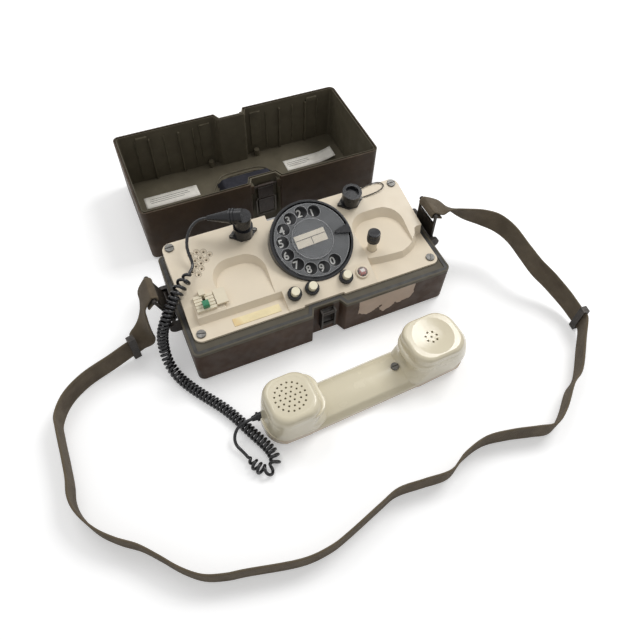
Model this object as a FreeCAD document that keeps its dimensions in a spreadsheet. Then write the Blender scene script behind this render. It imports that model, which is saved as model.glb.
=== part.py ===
import FreeCAD, Part
import math
import os
from types import SimpleNamespace

from FreeCAD import Placement, Rotation, Vector

# A field telephone: lower case with an inclined faceplate, lid standing behind it, handset in front,
# curly cord and carrying strap. X runs along the case, the front is -Y, Z is up, and the origin is the
# middle of the lower case's underside. Millimetres and degrees.

SIZES = {
    # case
    "case_length": 268.0,
    "case_depth": 125.0,
    "case_height": 46.0,
    "case_wall": 3.5,
    "case_floor": 3.0,
    "corner_radius": 6.5,
    "sole_bevel": 2.5,
    "notch_width": 27.0,
    "notch_slant": 4.0,
    "notch_depth": 8.5,
    "lip_width": 1.6,
    "gasket_width": 3.4,
    "gasket_height": 3.0,
    "ledge_drop": 1.0,
    "ledge_thickness": 3.0,
    "ledge_width": 14.0,
    "seat_gap": 0.3,
    "running_gap": 0.4,
    # latch catches on the case
    "catch_width": 15.0,
    "catch_top": 41.0,
    "catch_pitch": 17.0,
    "catch_bar_radius": 1.8,
    "catch_reach": 5.0,
    # faceplate
    "plate_length": 256.0,
    "plate_front": 12.5,
    "plate_back": 7.2,
    "plate_radius": 8.0,
    "plate_wall": 3.0,
    "front_edge_height": 47.5,
    "crest_setback": 23.0,
    "crest_height": 55.2,
    "back_edge_height": 69.0,
    "shelf_height": 47.2,
    "shelf_wall_run": 4.0,
    "rest_floor": 54.5,
    "left_rest_width": 58.0,
    "left_rest_depth": 49.0,
    "right_rest_width": 61.0,
    "right_rest_depth": 54.0,
    "rest_slant": 5.0,
    "rest_radius": 24.0,
    "left_rest_x": -67.0,
    "right_rest_x": 84.5,
    "plateau_left": -36.5,
    "plateau_right": 57.0,
    "front_notch_width": 42.0,
    "front_notch_depth": 1.6,
    "back_notch_depth": 6.9,
    "screw_x": 120.7,
    "back_screw_inset": 5.5,
    "front_screw_inset": 8.0,
    "screw_head_radius": 4.5,
    "screw_head_height": 1.6,
    "screw_shank_radius": 2.0,
    "screw_length": 10.0,
    "post_radius": 5.5,
    # middle line of the panel controls
    "control_x": 9.8,
    "button_pitch": 18.0,
    "button_setback": 14.6,
    "collar_radius": 6.8,
    "collar_height": 5.0,
    "button_radius": 4.1,
    "button_height": 11.5,
    "button_travel": 2.0,
    "bezel_radius": 6.6,
    "bezel_height": 2.0,
    "lens_radius": 5.2,
    "flag_radius": 3.6,
    # dial
    "dial_y": 5.5,
    "dial_z": 72.0,
    "dial_tilt": 24.0,
    "housing_radius": 41.8,
    "housing_wall": 2.4,
    "mechanism_opening": 23.5,
    "wheel_radius": 37.9,
    "wheel_thickness": 3.0,
    "hole_circle": 29.5,
    "hole_radius": 6.4,
    "hole_step": 25.8,
    "first_hole": 65.9,
    "number_plate_depth": 7.0,
    "number_plate_thickness": 2.0,
    "spindle_radius": 3.0,
    "dial_gear_radius": 20.0,
    "pinion_radius": 3.2,
    "cam_radius": 4.5,
    "gear_thickness": 2.5,
    "disc_radius": 21.5,
    "disc_height": 3.4,
    "stop_angle": -34.0,
    # line sockets
    "socket_spread": 58.5,
    "socket_run": 70.0,
    "flange_length": 31.0,
    "flange_width": 17.0,
    "flange_thickness": 2.6,
    "socket_neck_radius": 8.2,
    "socket_neck_height": 7.0,
    "socket_bore_radius": 6.0,
    "socket_depth": 14.0,
    "socket_screw_radius": 1.9,
    "cap_radius": 9.2,
    "cap_height": 15.0,
    "plug_radius": 8.0,
    "plug_height": 38.0,
    "elbow_radius": 7.0,
    "elbow_droop": 16.0,
    "plug_turn": -26.0,
    "boot_length": 22.0,
    # plunger
    "plunger_x": 67.3,
    "plunger_y": -14.0,
    "stalk_radius": 4.7,
    "plunger_radius": 6.3,
    "stalk_height": 12.5,
    "stalk_foot": 8.0,
    "plunger_height": 11.5,
    "plunger_travel": 4.0,
    # selector and key
    "selector_x": -108.0,
    "selector_width": 18.5,
    "selector_run": 9.8,
    "selector_length": 16.4,
    "selector_height": 3.4,
    "tab_width": 6.0,
    "knob_width": 6.0,
    "knob_length": 6.5,
    "knob_height": 5.0,
    "knob_travel": 7.0,
    "key_x": -92.4,
    "key_run": 11.5,
    "key_width": 11.0,
    "key_length": 16.0,
    "key_height": 2.0,
    "key_travel": 1.2,
    # sounder, label
    "sound_hole_radius": 1.1,
    "label_length": 46.5,
    "label_width": 8.6,
    "label_thickness": 0.5,
    # inner pieces
    "board_length": 200.0,
    "board_depth": 40.0,
    "board_thickness": 1.6,
    "cell_radius": 13.0,
    "cell_length": 50.0,
    "core_length": 42.0,
    "core_depth": 32.0,
    "core_height": 26.0,
    "sounder_radius": 17.0,
    "sounder_height": 14.0,
    # lid
    "lid_height": 69.5,
    "lid_x": -1.5,
    "lid_y": 163.5,
    "lid_rib": 2.0,
    "pad_length": 70.0,
    "pad_depth": 62.0,
    "pad_height": 11.0,
    "lever_width": 17.0,
    "lever_length": 38.0,
    "lever_thickness": 3.0,
    "lever_pin_height": 60.0,
    "lever_pin_radius": 1.3,
    "bail_width": 22.0,
    "bail_length": 24.0,
    "wire_radius": 1.0,
    # strap brackets
    "lug_y": 3.0,
    "lug_span": 40.0,
    "left_bracket_y": 6.0,
    "right_bracket_y": 0.5,
    "bracket_z": 39.0,
    "bracket_width": 31.0,
    "bracket_length": 33.0,
    "bracket_thickness": 2.4,
    "barrel_radius": 3.8,
    "pin_radius": 2.0,
    "ear_thickness": 4.0,
    "left_lean": 20.0,
    "right_lean": -2.0,
    # strap
    "strap_width": 25.0,
    "strap_thickness": 2.0,
    # handset
    "handset_x": 1.3,
    "handset_y": -130.0,
    "handset_turn": 2.3,
    "cup_spread": 71.5,
    "mouth_end": 98.5,
    "ear_end": 111.0,
    "grip_width": 43.4,
    "grip_top_width": 34.6,
    "grip_shoulder": 15.0,
    "grip_height": 21.5,
    "cup_width": 46.4,
    "cup_height": 40.0,
    "back_thickness": 6.0,
    "back_rise": 7.5,
    "mouth_cap_height": 10.2,
    "ear_cap_height": 11.5,
    "ear_dish": 1.6,
    "capsule_radius": 17.0,
    "capsule_height": 12.0,
    # curly cord
    "wire_diameter": 3.0,
    "coil_radius": 4.1,
    "curl_pitch": 4.0,
    "curl_gap": 0.5,
    "curl_rise": 14.0,
}

doc = FreeCAD.newDocument("FieldTelephone")
sheet = doc.addObject("Spreadsheet::Sheet", "Sizes")
for row, (alias, value) in enumerate(SIZES.items(), start=1):
    sheet.set(f"A{row}", alias)
    sheet.set(f"B{row}", str(value))
    sheet.setAlias(f"B{row}", alias)
doc.recompute()
S = SimpleNamespace(**{alias: float(sheet.get(alias)) for alias in SIZES})

pieces = []


def keep(piece, label, placement=None):
    """Name a finished piece, put it in its place and list it for export."""
    piece.Label = label
    if placement is not None:
        piece.Placement = placement
    pieces.append(piece)
    return piece


def feature(label, solid, placement=None):
    """A piece whose shape is worked out with the Part functions."""
    piece = doc.addObject("Part::Feature", label)
    piece.Shape = solid
    return keep(piece, label, placement)


def sketch_on(body, name):
    """A sketch on the body's own XY plane."""
    sketch = body.newObject("Sketcher::SketchObject", name)
    plane = next(item for item in body.Origin.OriginFeatures if item.Role == "XY_Plane")
    sketch.AttachmentSupport = (plane, [""])
    sketch.MapMode = "FlatFace"
    return sketch


def centred_rectangle(sketch, length, width):
    """Four lines round the origin with two bound dimensions."""
    import Sketcher
    corners = [Vector(-1, -1, 0), Vector(1, -1, 0), Vector(1, 1, 0), Vector(-1, 1, 0)]
    for start, end in zip(corners, corners[1:] + corners[:1]):
        sketch.addGeometry(Part.LineSegment(start, end))
    for index in range(4):
        sketch.addConstraint(Sketcher.Constraint("Coincident", index, 2, (index + 1) % 4, 1))
    for index in (0, 2):
        sketch.addConstraint(Sketcher.Constraint("Horizontal", index))
    for index in (1, 3):
        sketch.addConstraint(Sketcher.Constraint("Vertical", index))
    sketch.addConstraint(Sketcher.Constraint("Symmetric", 0, 1, 1, 2, -1, 1))
    along = sketch.addConstraint(Sketcher.Constraint("DistanceX", 0, 1, 0, 2, 2.0))
    across = sketch.addConstraint(Sketcher.Constraint("DistanceY", 1, 1, 1, 2, 2.0))
    sketch.renameConstraint(along, "length")
    sketch.renameConstraint(across, "width")
    sketch.setExpression("Constraints.length", length)
    sketch.setExpression("Constraints.width", width)


def slab(name, length, width, height):
    """A padded rectangle, its middle at the origin and its underside at zero."""
    body = doc.addObject("PartDesign::Body", name)
    sketch = sketch_on(body, name + "_outline")
    centred_rectangle(sketch, length, width)
    pad = body.newObject("PartDesign::Pad", name + "_pad")
    pad.Profile = sketch
    pad.setExpression("Length", height)
    sketch.Visibility = False
    return body


def round_bar(name, radius, height):
    """A padded circle on the origin."""
    import Sketcher
    body = doc.addObject("PartDesign::Body", name)
    sketch = sketch_on(body, name + "_outline")
    sketch.addGeometry(Part.Circle(Vector(0, 0, 0), Vector(0, 0, 1), 1.0))
    sketch.addConstraint(Sketcher.Constraint("Coincident", 0, 3, -1, 1))
    bound = sketch.addConstraint(Sketcher.Constraint("Radius", 0, 1.0))
    sketch.renameConstraint(bound, "radius")
    sketch.setExpression("Constraints.radius", radius)
    pad = body.newObject("PartDesign::Pad", name + "_pad")
    pad.Profile = sketch
    pad.setExpression("Length", height)
    return body


# Geometry shared by the pieces

def rounded_path(points, radii, closed=False):
    """Straight runs through the points, joined by tangent arcs of the given radii."""
    count = len(points)
    ends = []
    for index, (point, radius) in enumerate(zip(points, radii)):
        inner = closed or 0 < index < count - 1
        if not inner or radius <= 0:
            ends.append((point, None, point))
            continue
        back = (points[index - 1] - point).normalize()
        ahead = (points[(index + 1) % count] - point).normalize()
        half = back.getAngle(ahead) / 2
        reach = radius / math.tan(half)
        bisector = (back + ahead).normalize()
        middle = point + bisector * (radius / math.sin(half) - radius)
        ends.append((point + back * reach, middle, point + ahead * reach))
    edges = []
    for index in range(count):
        start, middle, end = ends[index]
        if middle is not None:
            edges.append(Part.Arc(start, middle, end).toShape())
        if index < count - 1 or closed:
            following = ends[(index + 1) % count][0]
            if (following - end).Length > 1e-6:
                edges.append(Part.LineSegment(end, following).toShape())
    return Part.Wire(edges)


def prism(outline, bottom, top):
    """The flat outline extruded between two heights."""
    face = Part.Face(outline)
    face.translate(Vector(0, 0, bottom - outline.BoundBox.ZMin))
    return face.extrude(Vector(0, 0, top - bottom))


def rounded_rectangle(left, right, front, back, radius):
    corners = [Vector(left, front, 0), Vector(right, front, 0), Vector(right, back, 0),
               Vector(left, back, 0)]
    return rounded_path(corners, [radius] * 4, closed=True)


def case_outline(inset):
    """The case's plan, drawn in by the inset, with a latch channel in the front and the back."""
    half_length = S.case_length / 2 - inset
    half_depth = S.case_depth / 2 - inset
    radius = max(S.corner_radius - inset, 1.5)
    narrow = S.notch_width / 2 + 0.6 * inset
    wide = narrow + S.notch_slant
    floor = S.case_depth / 2 - S.notch_depth - inset
    corners = [(-half_length, -half_depth, radius), (-wide, -half_depth, 1.2), (-narrow, -floor, 0.8),
               (narrow, -floor, 0.8), (wide, -half_depth, 1.2), (half_length, -half_depth, radius),
               (half_length, half_depth, radius), (wide, half_depth, 1.2), (narrow, floor, 0.8),
               (-narrow, floor, 0.8), (-wide, half_depth, 1.2), (-half_length, half_depth, radius)]
    points = [Vector(x, y, 0) for x, y, _ in corners]
    return rounded_path(points, [radius for _, _, radius in corners], closed=True)


def case_block(height):
    """The case's outer form with its bottom edge bevelled."""
    high = case_outline(0)
    high.translate(Vector(0, 0, S.sole_bevel))
    bevel = Part.makeLoft([case_outline(S.sole_bevel), high], True, True)
    return bevel.fuse(prism(case_outline(0), S.sole_bevel, height)).removeSplitter()


def box(left, right, front, back, bottom, top):
    return Part.makeBox(right - left, back - front, top - bottom, Vector(left, front, bottom))


def along_x(points, left, right):
    """A prism along X whose section is the list of (y, z) points."""
    corners = [Vector(left, y, z) for y, z in points]
    face = Part.Face(Part.makePolygon(corners + corners[:1]))
    return face.extrude(Vector(right - left, 0, 0))


def cylinder(radius, height, base, axis=Vector(0, 0, 1)):
    return Part.makeCylinder(radius, height, base, axis)


def fused(shapes):
    joined = shapes[0].multiFuse(shapes[1:])
    return joined.removeSplitter()


# Faceplate frames: the top slope starts at the crest, the front band at the front edge

FRONT = -S.case_depth / 2 + S.plate_front
BACK = S.case_depth / 2 - S.plate_back
CREST = FRONT + S.crest_setback
LEDGE = S.case_height - S.ledge_drop

TOP_TILT = math.degrees(math.atan2(S.back_edge_height - S.crest_height, BACK - CREST))
BAND_TILT = math.degrees(math.atan2(S.crest_height - S.front_edge_height, S.crest_setback))
TOP = Placement(Vector(0, CREST, S.crest_height), Rotation(Vector(1, 0, 0), TOP_TILT))
BAND = Placement(Vector(0, FRONT, S.front_edge_height), Rotation(Vector(1, 0, 0), BAND_TILT))
DIAL = Placement(Vector(S.control_x, S.dial_y, S.dial_z), Rotation(Vector(1, 0, 0), S.dial_tilt))


def at(frame, x, y, z=0.0):
    """The frame moved to a point given in it."""
    return frame.multiply(Placement(Vector(x, y, z), Rotation()))


def top_height(y):
    return S.crest_height + (y - CREST) * math.tan(math.radians(TOP_TILT))


# Lower case

def base_shell():
    outer = case_block(S.case_height)
    cavity = prism(case_outline(S.case_wall), S.case_floor, LEDGE - S.ledge_thickness)
    half = S.case_length / 2 - S.ledge_width + 4
    front = -S.case_depth / 2 + S.ledge_width + S.case_wall
    back = -front
    cut = 16.0
    opening = rounded_path([Vector(x, y, 0) for x, y in (
        (-half + cut, front), (half - cut, front), (half, front + cut), (half, back - cut),
        (half - cut, back), (-half + cut, back), (-half, back - cut), (-half, front + cut))],
        [3.0] * 8, closed=True)
    inside_lip = S.lip_width + S.gasket_width
    groove = prism(case_outline(S.lip_width), S.case_height - S.gasket_height, S.case_height + 1)
    groove = groove.cut(prism(case_outline(inside_lip), 0, S.case_height + 1))
    shell = outer.cut([cavity, prism(opening, S.case_floor, S.case_height + 1), groove,
                       prism(case_outline(inside_lip), LEDGE, S.case_height + 1)])
    bosses = []
    for side in (-1, 1):
        for y in (-S.front_row, S.back_row):
            bosses.append(cylinder(S.post_radius, LEDGE - S.case_floor + 0.5,
                                   Vector(side * S.screw_x, y, S.case_floor - 0.5)))
    cradles = [box(x - 1.5, x + 1.5, -2, 47, S.case_floor - 0.5, S.case_floor + 9)
               for x in (-68, -40, -12, 16)]
    troughs = [cylinder(S.cell_radius + 0.05, 300, Vector(-150, y, CELL_Z), Vector(1, 0, 0))
               for y in CELL_ROWS]
    cradles = [cradle.cut(troughs) for cradle in cradles]
    pillars = [cylinder(3.0, BOARD_Z - S.case_floor + 0.5, Vector(x, y, S.case_floor - 0.5))
               for x in (-92, 92) for y in (-41, -9)]
    drills = [cylinder(S.screw_shank_radius + 0.02, 14, Vector(side * S.screw_x, -S.front_row, LEDGE - 12))
              for side in (-1, 1)]
    return fused([shell] + bosses + cradles + pillars).cut(drills)


BOARD_Z = LEDGE - S.ledge_thickness - 8.0
S.front_row = -(FRONT + S.front_screw_inset)
S.back_row = BACK - S.back_screw_inset
CELL_Z = S.case_floor + 3.0 + S.cell_radius
CELL_ROWS = (9.0, 9.0 + 2 * S.cell_radius + 1.0)

feature("base_shell", base_shell())


def gasket():
    outer = prism(case_outline(S.lip_width + 0.1), S.case_height - S.gasket_height,
                  S.case_height - 0.3)
    return outer.cut(prism(case_outline(S.lip_width + S.gasket_width - 0.1), 0, S.case_height + 1))


feature("base_gasket", gasket())


def catch():
    """A plate on the channel's floor with two cross bars between cheeks."""
    floor = -(S.case_depth / 2 - S.notch_depth)
    half = S.catch_width / 2
    bottom = S.catch_top - S.catch_pitch - 9.0
    plate = box(-half, half, floor - 1.6, floor, bottom, S.catch_top)
    cheeks = [box(x, x + 1.6, floor - S.catch_reach - S.catch_bar_radius, floor, bottom, S.catch_top)
              for x in (-half, half - 1.6)]
    bars = [cylinder(S.catch_bar_radius, S.catch_width, Vector(-half, floor - S.catch_reach, z),
                     Vector(1, 0, 0)) for z in (S.catch_top - 3, S.catch_top - 3 - S.catch_pitch)]
    return fused([plate] + cheeks + bars)


def base_catches():
    front = catch()
    back = front.copy()
    back.rotate(Vector(0, 0, 0), Vector(0, 0, 1), 180)
    return Part.makeCompound([front, back])


feature("base_catches", base_catches())


# Faceplate

def wedge(drop, inset):
    """The faceplate's block, lowered by the drop and drawn in by the inset."""
    slope = (S.crest_height - S.front_edge_height) / S.crest_setback
    profile = [(FRONT - 1, LEDGE), (FRONT - 1, S.front_edge_height - drop - slope),
               (CREST, S.crest_height - drop), (BACK + 1, top_height(BACK + 1) - drop),
               (BACK + 1, LEDGE)]
    half = S.plate_length / 2 - inset
    plan = rounded_rectangle(-half, half, FRONT + inset, BACK - inset, S.plate_radius - inset)
    return along_x(profile, -half - 1, half + 1).common(prism(plan, LEDGE, 100))


RESTS = ((S.left_rest_x, S.left_rest_width, S.left_rest_depth),
         (S.right_rest_x, S.right_rest_width, S.right_rest_depth))


def rest_tool(x, width, depth, grow):
    """A handset rest: level floor, slanted walls and an open front."""
    half = width / 2 + grow
    back = CREST + depth + grow
    front = CREST - 6 - grow
    floor = S.rest_floor - grow
    top = 75.0
    slant = S.rest_slant * (top - floor) / 11.0
    low = rounded_path([Vector(x - half + S.rest_slant, front, floor),
                        Vector(x + half - S.rest_slant, front, floor),
                        Vector(x + half - S.rest_slant, back - S.rest_slant, floor),
                        Vector(x - half + S.rest_slant, back - S.rest_slant, floor)],
                       [0, 0, S.rest_radius - 4, S.rest_radius - 4], closed=True)
    wide = slant - S.rest_slant
    high = rounded_path([Vector(x - half - wide, front, top), Vector(x + half + wide, front, top),
                         Vector(x + half + wide, back + wide, top),
                         Vector(x - half - wide, back + wide, top)],
                        [0, 0, S.rest_radius, S.rest_radius], closed=True)
    return Part.makeLoft([low, high], True, True)


def left_shelf_tool(grow):
    """The left shelf: level floor, steep wall behind it and a ramp on the side strip."""
    floor = S.shelf_height - grow
    crest = S.crest_height + 1
    wall = CREST - 1.5 + grow
    foot = wall - S.shelf_wall_run
    side = -S.plate_length / 2 - 2 - grow
    steep = along_x([(FRONT - 2, floor), (foot, floor), (wall, crest), (wall, 75), (FRONT - 2, 75)],
                    side, S.plateau_left + grow)
    ramp_end = CREST + 13 + grow
    ramp = along_x([(FRONT - 2, floor), (foot, floor), (ramp_end, top_height(ramp_end) + 1),
                    (ramp_end, 75), (FRONT - 2, 75)], side, -S.plate_length / 2 + 9 + grow)
    return steep.fuse(ramp)


def right_shelf_tool(grow):
    """The right shelf: its wall bulges forward along the rest and curls back at the right."""
    edge = [(0, 3.6), (17, 0.8), (29, -0.1), (37.9, -0.7), (45.9, 2.3), (53.5, 7.0), (59.3, 12.7),
            (61.6, 18.1)]
    crest = [Vector(S.plateau_right + x, CREST + y, 0) for x, y in edge]
    ways = [crest[min(i + 1, len(crest) - 1)] - crest[max(i - 1, 0)] for i in range(len(crest))]
    outward = [Vector(-way.y, way.x, 0).normalize() for way in ways]
    side = S.plate_length / 2 + 2 + grow
    rings = []
    for height, reach in ((S.shelf_height - grow, grow - S.shelf_wall_run),
                          (S.crest_height + 1.0, grow), (75.0, grow)):
        line = [point + way * reach for point, way in zip(crest, outward)]
        left = S.plateau_right - grow
        line[0] = Vector(left, line[0].y, 0)
        corners = [Vector(left, FRONT - 2, 0)] + line
        corners += [Vector(line[-1].x + 3, line[-1].y + 2, 0), Vector(side, line[-1].y + 2, 0),
                    Vector(side, FRONT - 2, 0)]
        radii = [0, 0.5, 5, 5, 5, 5, 5, 5, 1.0, 0.5, 0, 0]
        ring = rounded_path(corners, radii, closed=True)
        ring.translate(Vector(0, 0, height))
        rings.append(ring)
    return Part.makeLoft(rings, True, True)


SOUND_HOLES = [(-104.1, 63.8), (-98.0, 65.4), (-91.6, 63.7), (-87.1, 58.9), (-96.3, 58.6),
               (-102.2, 57.0), (-92.0, 54.3), (-97.8, 52.4), (-103.4, 50.8), (-99.2, 46.5),
               (-108.4, 46.0), (-103.8, 41.2)]
BUTTON_X = [S.control_x - 2 * S.button_pitch, S.control_x - S.button_pitch,
            S.control_x + S.button_pitch]
INDICATOR_X = S.control_x + 2 * S.button_pitch
BUTTON_RUN = S.button_setback
SOCKET_X = [S.control_x - S.socket_spread, S.control_x + S.socket_spread]


def placed(solid, frame):
    solid = solid.copy()
    solid.Placement = frame.multiply(solid.Placement)
    return solid


def faceplate():
    outer = wedge(0, 0).cut([left_shelf_tool(0), right_shelf_tool(0)])
    outer = outer.cut([rest_tool(*rest, 0) for rest in RESTS])
    inner = wedge(S.plate_wall, S.plate_wall)
    inner = inner.cut([left_shelf_tool(S.plate_wall), right_shelf_tool(S.plate_wall)])
    inner = inner.cut([rest_tool(*rest, S.plate_wall) for rest in RESTS])
    half = S.front_notch_width / 2 + S.plate_wall
    inner = inner.cut(box(-half, half, BACK - S.back_notch_depth - S.plate_wall, BACK, 0, 100))
    plate = outer.cut(inner)
    posts = [cylinder(S.post_radius, 40, Vector(side * S.screw_x, S.back_row, LEDGE)).common(wedge(0, 0))
             for side in (-1, 1)]
    plate = fused([plate] + posts)
    holes = []
    for x, run in SOUND_HOLES:
        holes.append(placed(cylinder(S.sound_hole_radius, 12, Vector(x, run, -8)), TOP))
        holes.append(placed(Part.makeCone(S.sound_hole_radius, 2.9, 1.2, Vector(x, run, -1.0)), TOP))
    holes.append(placed(cylinder(S.housing_radius + 0.1, 80, Vector(0, 0, -50)), DIAL))
    for x in BUTTON_X:
        holes.append(placed(cylinder(S.button_radius + 0.9, 20, Vector(x, BUTTON_RUN, -12)), BAND))
    holes.append(placed(cylinder(S.lens_radius - 0.4, 20, Vector(INDICATOR_X, BUTTON_RUN, -12)), BAND))
    for x in SOCKET_X:
        holes.append(placed(cylinder(S.socket_neck_radius - 0.7, 30, Vector(x, S.socket_run, -20)), TOP))
        for side in (-1, 1):
            holes.append(placed(cylinder(1.2, 20, Vector(x + side * SOCKET_SCREW, S.socket_run, -10)),
                                TOP))
    holes.append(cylinder(S.stalk_radius + S.running_gap, 30, Vector(S.plunger_x, S.plunger_y, 40)))
    holes.append(placed(box(S.selector_x - 2, S.selector_x + 2, S.selector_run - 6,
                            S.selector_run + 6, -8, 4), TOP))
    holes.append(placed(box(S.key_x - 3, S.key_x + 3, S.key_run - 5, S.key_run + 5, -8, 4), TOP))
    for side in (-1, 1):
        holes.append(cylinder(S.screw_shank_radius, 60, Vector(side * S.screw_x, -S.front_row, 20)))
        holes.append(placed(cylinder(S.screw_shank_radius, 60, Vector(side * S.screw_x, BACK_SCREW_RUN,
                                                                      -40)), TOP))
    half = S.front_notch_width / 2
    holes.append(box(-half, half, FRONT - 1, FRONT + S.front_notch_depth, 0, 100))
    holes.append(box(-half, half, BACK - S.back_notch_depth, BACK + 1, 0, 100))
    return plate.cut(holes)


SOCKET_SCREW = 11.7
BACK_SCREW_RUN = (S.back_row - CREST) / math.cos(math.radians(TOP_TILT))
feature("faceplate", faceplate())


def slotted_screw(head_radius, head_height, shank_radius, length):
    """A cheese head with a slot, its seat at zero and its shank below."""
    head = cylinder(head_radius, head_height, Vector(0, 0, 0))
    rim = [edge for edge in head.Edges if edge.BoundBox.ZMin > head_height - 0.01]
    head = head.makeFillet(0.3 * head_height, [edge for edge in rim if edge.BoundBox.XLength > 1])
    shank = cylinder(shank_radius, length, Vector(0, 0, -length))
    slot = box(-head_radius, head_radius, -0.5, 0.5, 0.5 * head_height, head_height + 1)
    return head.fuse(shank).removeSplitter().cut(slot)


def panel_screws():
    screws = []
    for side in (-1, 1):
        for frame, length in ((Placement(Vector(side * S.screw_x, -S.front_row, S.shelf_height),
                                         Rotation(Vector(0, 0, 1), 25 + 40 * side)), S.screw_length),
                              (at(TOP, side * S.screw_x, BACK_SCREW_RUN), 2.0 * S.screw_length)):
            screw = slotted_screw(S.screw_head_radius, S.screw_head_height,
                                  S.screw_shank_radius - 0.03, length)
            screws.append(placed(screw, frame))
        for x in SOCKET_X:
            screw = slotted_screw(S.socket_screw_radius, 1.0, 1.15, 7.0)
            screws.append(placed(screw, at(TOP, x + side * SOCKET_SCREW, S.socket_run,
                                           S.flange_thickness)))
    return Part.makeCompound(screws)


feature("panel_screws", panel_screws())


# Dial: frame at the wheel's top, tilted towards the front

def dial_housing():
    rim_top = -0.2
    seat = -S.number_plate_depth - S.number_plate_thickness
    base = seat - S.housing_wall
    skirt = cylinder(S.housing_radius, 40, Vector(0, 0, -40 + rim_top))
    lip = [edge for edge in skirt.Edges if edge.BoundBox.ZMin > rim_top - 0.01]
    skirt = skirt.makeFillet(0.9, [edge for edge in lip if edge.BoundBox.XLength > 1])
    skirt = skirt.cut([cylinder(S.housing_radius - S.housing_wall, 60, Vector(0, 0, -50))])
    sunk = S.plate_wall
    below = along_x([(FRONT - 20, 0), (FRONT - 20, S.front_edge_height - 20 * math.tan(
        math.radians(BAND_TILT)) - sunk), (CREST, S.crest_height - sunk),
        (BACK + 20, top_height(BACK + 20) - sunk), (BACK + 20, 0)], -150, 150)
    skirt = placed(skirt, DIAL).cut(below)
    cup = cylinder(S.housing_radius, -2.0 - base, Vector(0, 0, base))
    cup = cup.cut([cylinder(S.housing_radius - S.housing_wall, 40, Vector(0, 0, seat)),
                   cylinder(S.mechanism_opening, 60, Vector(0, 0, -50))])
    return skirt.fuse(placed(cup, DIAL)).removeSplitter()


feature("dial_housing", dial_housing())


GEAR_TOP = -S.number_plate_depth - S.number_plate_thickness - S.housing_wall - 0.6


def number_plate():
    plate = cylinder(S.housing_radius - S.housing_wall - 0.1, S.number_plate_thickness,
                     Vector(0, 0, -S.number_plate_depth - S.number_plate_thickness))
    return plate.cut(cylinder(S.spindle_radius + S.running_gap, 20, Vector(0, 0, -15)))


feature("dial_number_plate", number_plate(), DIAL)


def finger_stop():
    """A flat blade from the housing rim over the wheel, narrow at its inner end."""
    rim = S.housing_radius - S.housing_wall - 0.1
    tip = S.disc_radius + 2.5
    outline = rounded_path([Vector(tip, -1.2, 0), Vector(rim, -5.0, 0), Vector(rim, 5.0, 0),
                            Vector(tip, 1.2, 0)], [1.0, 0, 0, 1.0], closed=True)
    blade = prism(outline, 0.6, 2.6)
    foot = box(S.wheel_radius + 0.5, rim, -4.8, 4.8, -S.number_plate_depth, 2.6)
    stop = blade.fuse(foot.common(cylinder(rim, 20, Vector(0, 0, -10))))
    stop = stop.common(cylinder(rim, 20, Vector(0, 0, -10))).removeSplitter()
    stop.rotate(Vector(0, 0, 0), Vector(0, 0, 1), S.stop_angle)
    return stop


feature("dial_finger_stop", finger_stop(), DIAL)


def finger_wheel():
    wheel = cylinder(S.wheel_radius, S.wheel_thickness, Vector(0, 0, -S.wheel_thickness))
    edge = [item for item in wheel.Edges if item.BoundBox.XLength > 1 and item.Curve.TypeId ==
            "Part::GeomCircle"]
    wheel = wheel.makeFillet(0.8, edge)
    holes = []
    for number in range(10):
        angle = math.radians(S.first_hole + number * S.hole_step)
        centre = Vector(S.hole_circle * math.cos(angle), S.hole_circle * math.sin(angle), -10)
        holes.append(cylinder(S.hole_radius, 20, centre))
    holes.append(cylinder(S.spindle_radius, 20, Vector(0, 0, -10)))
    return wheel.cut(holes)


feature("finger_wheel", finger_wheel(), DIAL)


def dial_spindle():
    """The spindle with the drive gear below the number plate."""
    gear_top = GEAR_TOP
    rod = cylinder(S.spindle_radius, 25.5, Vector(0, 0, -25.5))
    collar = cylinder(S.spindle_radius + 2.5, 3.6, Vector(0, 0, -S.wheel_thickness - 3.6))
    gear = cylinder(S.dial_gear_radius, S.gear_thickness, Vector(0, 0, gear_top - S.gear_thickness))
    teeth = []
    for index in range(24):
        angle = 15.0 * index
        gap = box(S.dial_gear_radius - 1.6, S.dial_gear_radius + 1, -1.1, 1.1, -40, 0)
        gap.rotate(Vector(0, 0, 0), Vector(0, 0, 1), angle)
        teeth.append(gap)
    return fused([rod, collar, gear.cut(teeth)])


feature("dial_spindle", dial_spindle(), DIAL)


def dial_centre():
    """The clear disc: a shallow dome with room for the card."""
    disc = cylinder(S.disc_radius, S.disc_height, Vector(0, 0, 0))
    rim = [edge for edge in disc.Edges if edge.BoundBox.ZMin > S.disc_height - 0.01 and
           edge.BoundBox.XLength > 1]
    disc = disc.makeFillet(1.8, rim)
    return disc.cut(cylinder(S.disc_radius - 1.6, 1.2, Vector(0, 0, 0)))


feature("dial_centre", dial_centre(), DIAL)

card = slab("dial_card", "32", "13", "0.8")
keep(card, "dial_card", at(DIAL, -1.0, 1.5).multiply(Placement(Vector(), Rotation(Vector(0, 0, 1), 3))))

PULSE_X = S.dial_gear_radius + S.pinion_radius + 0.2


def dial_mechanism():
    """The frame that carries the spindle's foot and the pulse cam's pin."""
    deck = -24.0
    plate = cylinder(S.mechanism_opening + 5, 2.0, Vector(0, 0, deck - 2.0))
    foot = cylinder(S.spindle_radius + 2, 5, Vector(0, 0, deck - 5))
    bore = cylinder(S.spindle_radius + 0.05, 6, Vector(0, 0, deck - 4))
    posts = []
    top = -S.number_plate_depth - S.number_plate_thickness - S.housing_wall - 0.01
    for angle in (90, 210, 330):
        reach = S.mechanism_opening + 2.6
        place = Vector(reach * math.cos(math.radians(angle)), reach * math.sin(math.radians(angle)),
                       deck - 1)
        posts.append(cylinder(2.2, top - deck + 1, place))
    pin = cylinder(1.0, 12.4, Vector(-PULSE_X, 0, deck - 1))
    return fused([plate, foot] + posts + [pin]).cut(bore)


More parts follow.
